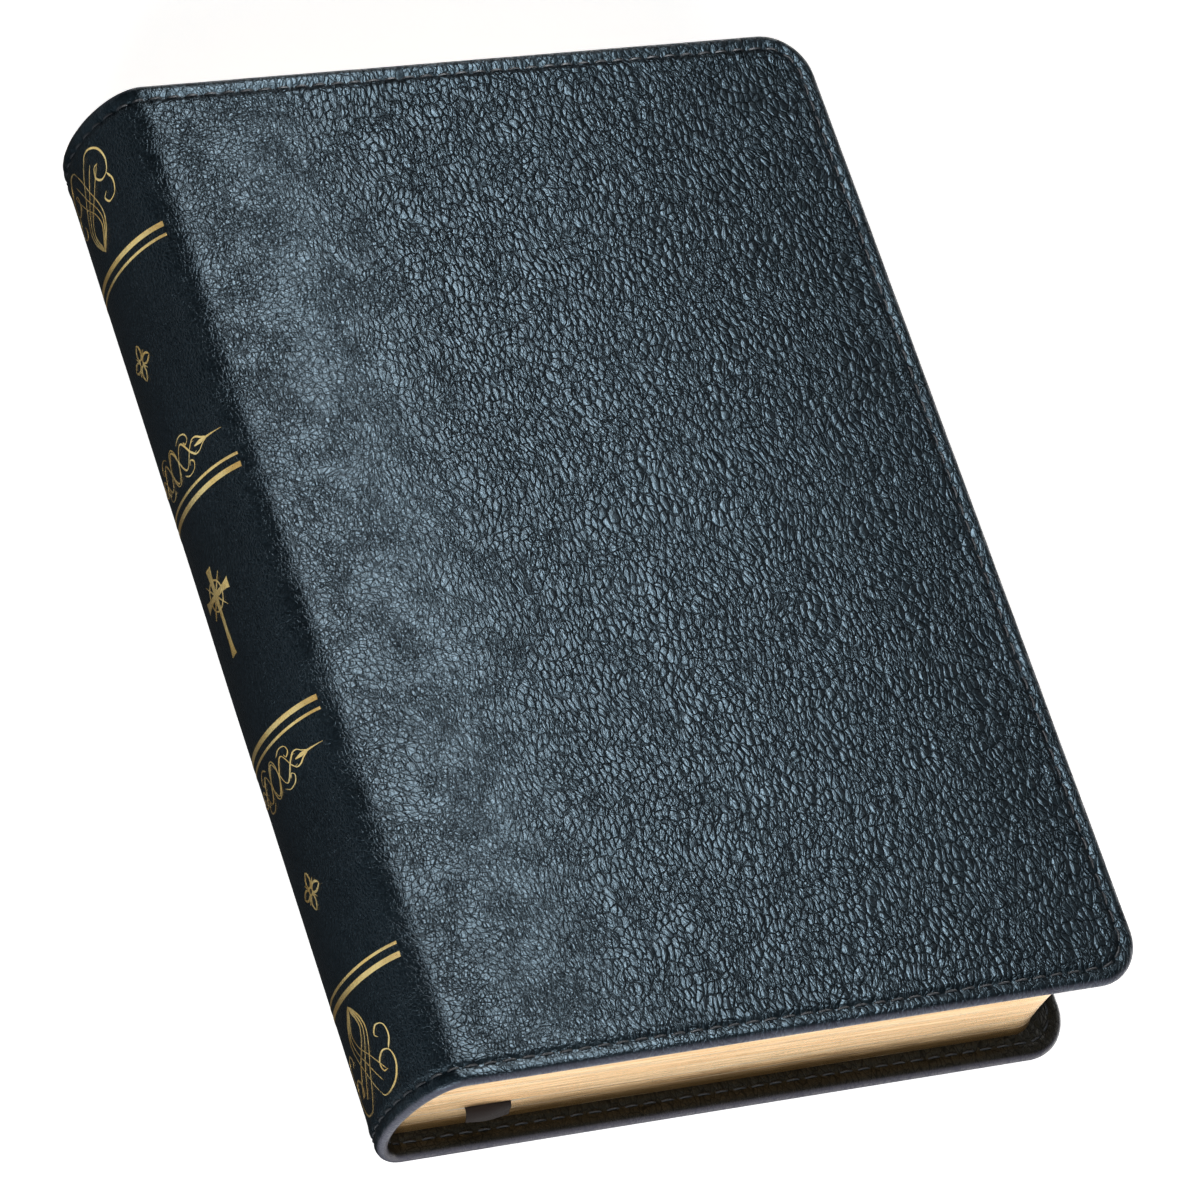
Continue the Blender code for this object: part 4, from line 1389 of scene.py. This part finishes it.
# ------------------------------------------------------------------ floor, light, camera
floor_mesh = bpy.data.meshes.new("floor")
L = 4.0
floor_mesh.from_pydata([(-L, -L, 0), (L, -L, 0), (L, L, 0), (-L, L, 0)], [], [(0, 1, 2, 3)])
floor = bpy.data.objects.new("floor", floor_mesh)
bpy.context.scene.collection.objects.link(floor)
fl = Nodes("floor_white")
fl.bsdf.inputs["Base Color"].default_value = (0.93, 0.93, 0.93, 1)
fl.bsdf.inputs["Roughness"].default_value = 0.9
fl.bsdf.inputs["Specular IOR Level"].default_value = 0.1
fl.bsdf.inputs["Emission Color"].default_value = (1, 1, 1, 1)
fl.bsdf.inputs["Emission Strength"].default_value = 0.80
floor_mesh.materials.append(fl.mat)
floor.location.z = -0.0002
floor.visible_diffuse = False
floor.visible_glossy = False
for label, x0, x1, y0, y1, glow in (
    ("front", -1.6, 1.6, -1.6, -0.112, 1.7),
    ("right", -0.05, 1.6, -0.112, 1.6, 1.7),
    ("left", -1.6, -0.1, -0.112, 1.6, 0.95),
):
    card_mesh = bpy.data.meshes.new("bounce_card_" + label)
    card_mesh.from_pydata([(x0, y0, 0), (x1, y0, 0), (x1, y1, 0), (x0, y1, 0)], [], [(0, 1, 2, 3)])
    card = bpy.data.objects.new("bounce_card_" + label, card_mesh)
    bpy.context.scene.collection.objects.link(card)
    cd = Nodes("card_white_" + label)
    cd.bsdf.inputs["Base Color"].default_value = (0, 0, 0, 1)
    cd.bsdf.inputs["Emission Color"].default_value = (1, 1, 1, 1) if label != "left" else (0.80, 0.92, 1.0, 1)
    cd.bsdf.inputs["Emission Strength"].default_value = glow
    card_mesh.materials.append(cd.mat)
    card.location.z = -0.0003
    card.visible_camera = False
    card.visible_diffuse = False
    card.visible_shadow = False
    card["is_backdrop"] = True
floor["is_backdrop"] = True

scene = bpy.context.scene
w = bpy.data.worlds.new("studio")
w.use_nodes = True
w.node_tree.nodes["Background"].inputs[0].default_value = (1.0, 1.0, 1.0, 1)
w.node_tree.nodes["Background"].inputs[1].default_value = 0.06
scene.world = w


def area(name, loc, target, size, size_y, power, colour=(1, 1, 1)):
    data = bpy.data.lights.new(name, "AREA")
    data.shape = "RECTANGLE"
    data.size, data.size_y = size, size_y
    data.energy = power
    data.color = colour
    o = bpy.data.objects.new(name, data)
    scene.collection.objects.link(o)
    o.location = loc
    o.rotation_mode = "QUATERNION"
    o.visible_camera = False
    o.rotation_quaternion = (Vector(target) - Vector(loc)).to_track_quat("-Z", "Y")
    return o


area("key_strip", (0.026, 0.055, 0.165), (0.026, 0.054, 0), 0.06, 0.34, 1.3)
bpy.data.objects["key_strip"].visible_diffuse = False
area("glint_key", (0.35, 0.45, 0.50), (0.0, 0, 0), 0.16, 0.16, 0.08)
area("top_softbox", (0.62, 0.55, 1.25), (0, 0, 0), 0.8, 0.9, 0.04)
area("back_rim", (0.55, 1.0, 0.62), (0, 0, 0.02), 0.35, 0.25, 0.6)
area("front_fill", (-0.3, -1.3, 0.9), (0, 0, 0.02), 1.0, 0.7, 9)
area("corner_rim", (-0.75, -0.85, 0.30), (-0.05, -0.08, 0.02), 0.35, 0.25, 8)
area("left_fill", (-1.5, 0.3, 0.9), (0, 0, 0.02), 0.7, 1.0, 3)
area("right_fill", (1.3, 0.2, 0.7), (0, 0, 0.02), 0.8, 0.8, 1.2)

RIGHT = Vector((0.88430, -0.30138, 0.35662))
UP = Vector((0.10844, 0.87546, 0.47097))
FORWARD = Vector((0.45415, 0.37781, -0.80685))
cam_data = bpy.data.cameras.new("camera")
cam_data.sensor_width = 36.0
cam_data.lens = 36.0 * 6917.0 / 1200.0
cam_data.clip_start, cam_data.clip_end = 0.05, 20
cam = bpy.data.objects.new("camera", cam_data)
scene.collection.objects.link(cam)
m = Matrix.Identity(4)
for i in range(3):
    m[i][0], m[i][1], m[i][2] = RIGHT[i], UP[i], -FORWARD[i]
m.translation = Vector((-0.62438, -0.52597, 1.12993))
cam.matrix_world = m
scene.camera = cam
scene.view_settings.view_transform = "Standard"
scene.view_settings.look = "None"

bpy.context.view_layer.update()
lo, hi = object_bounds()
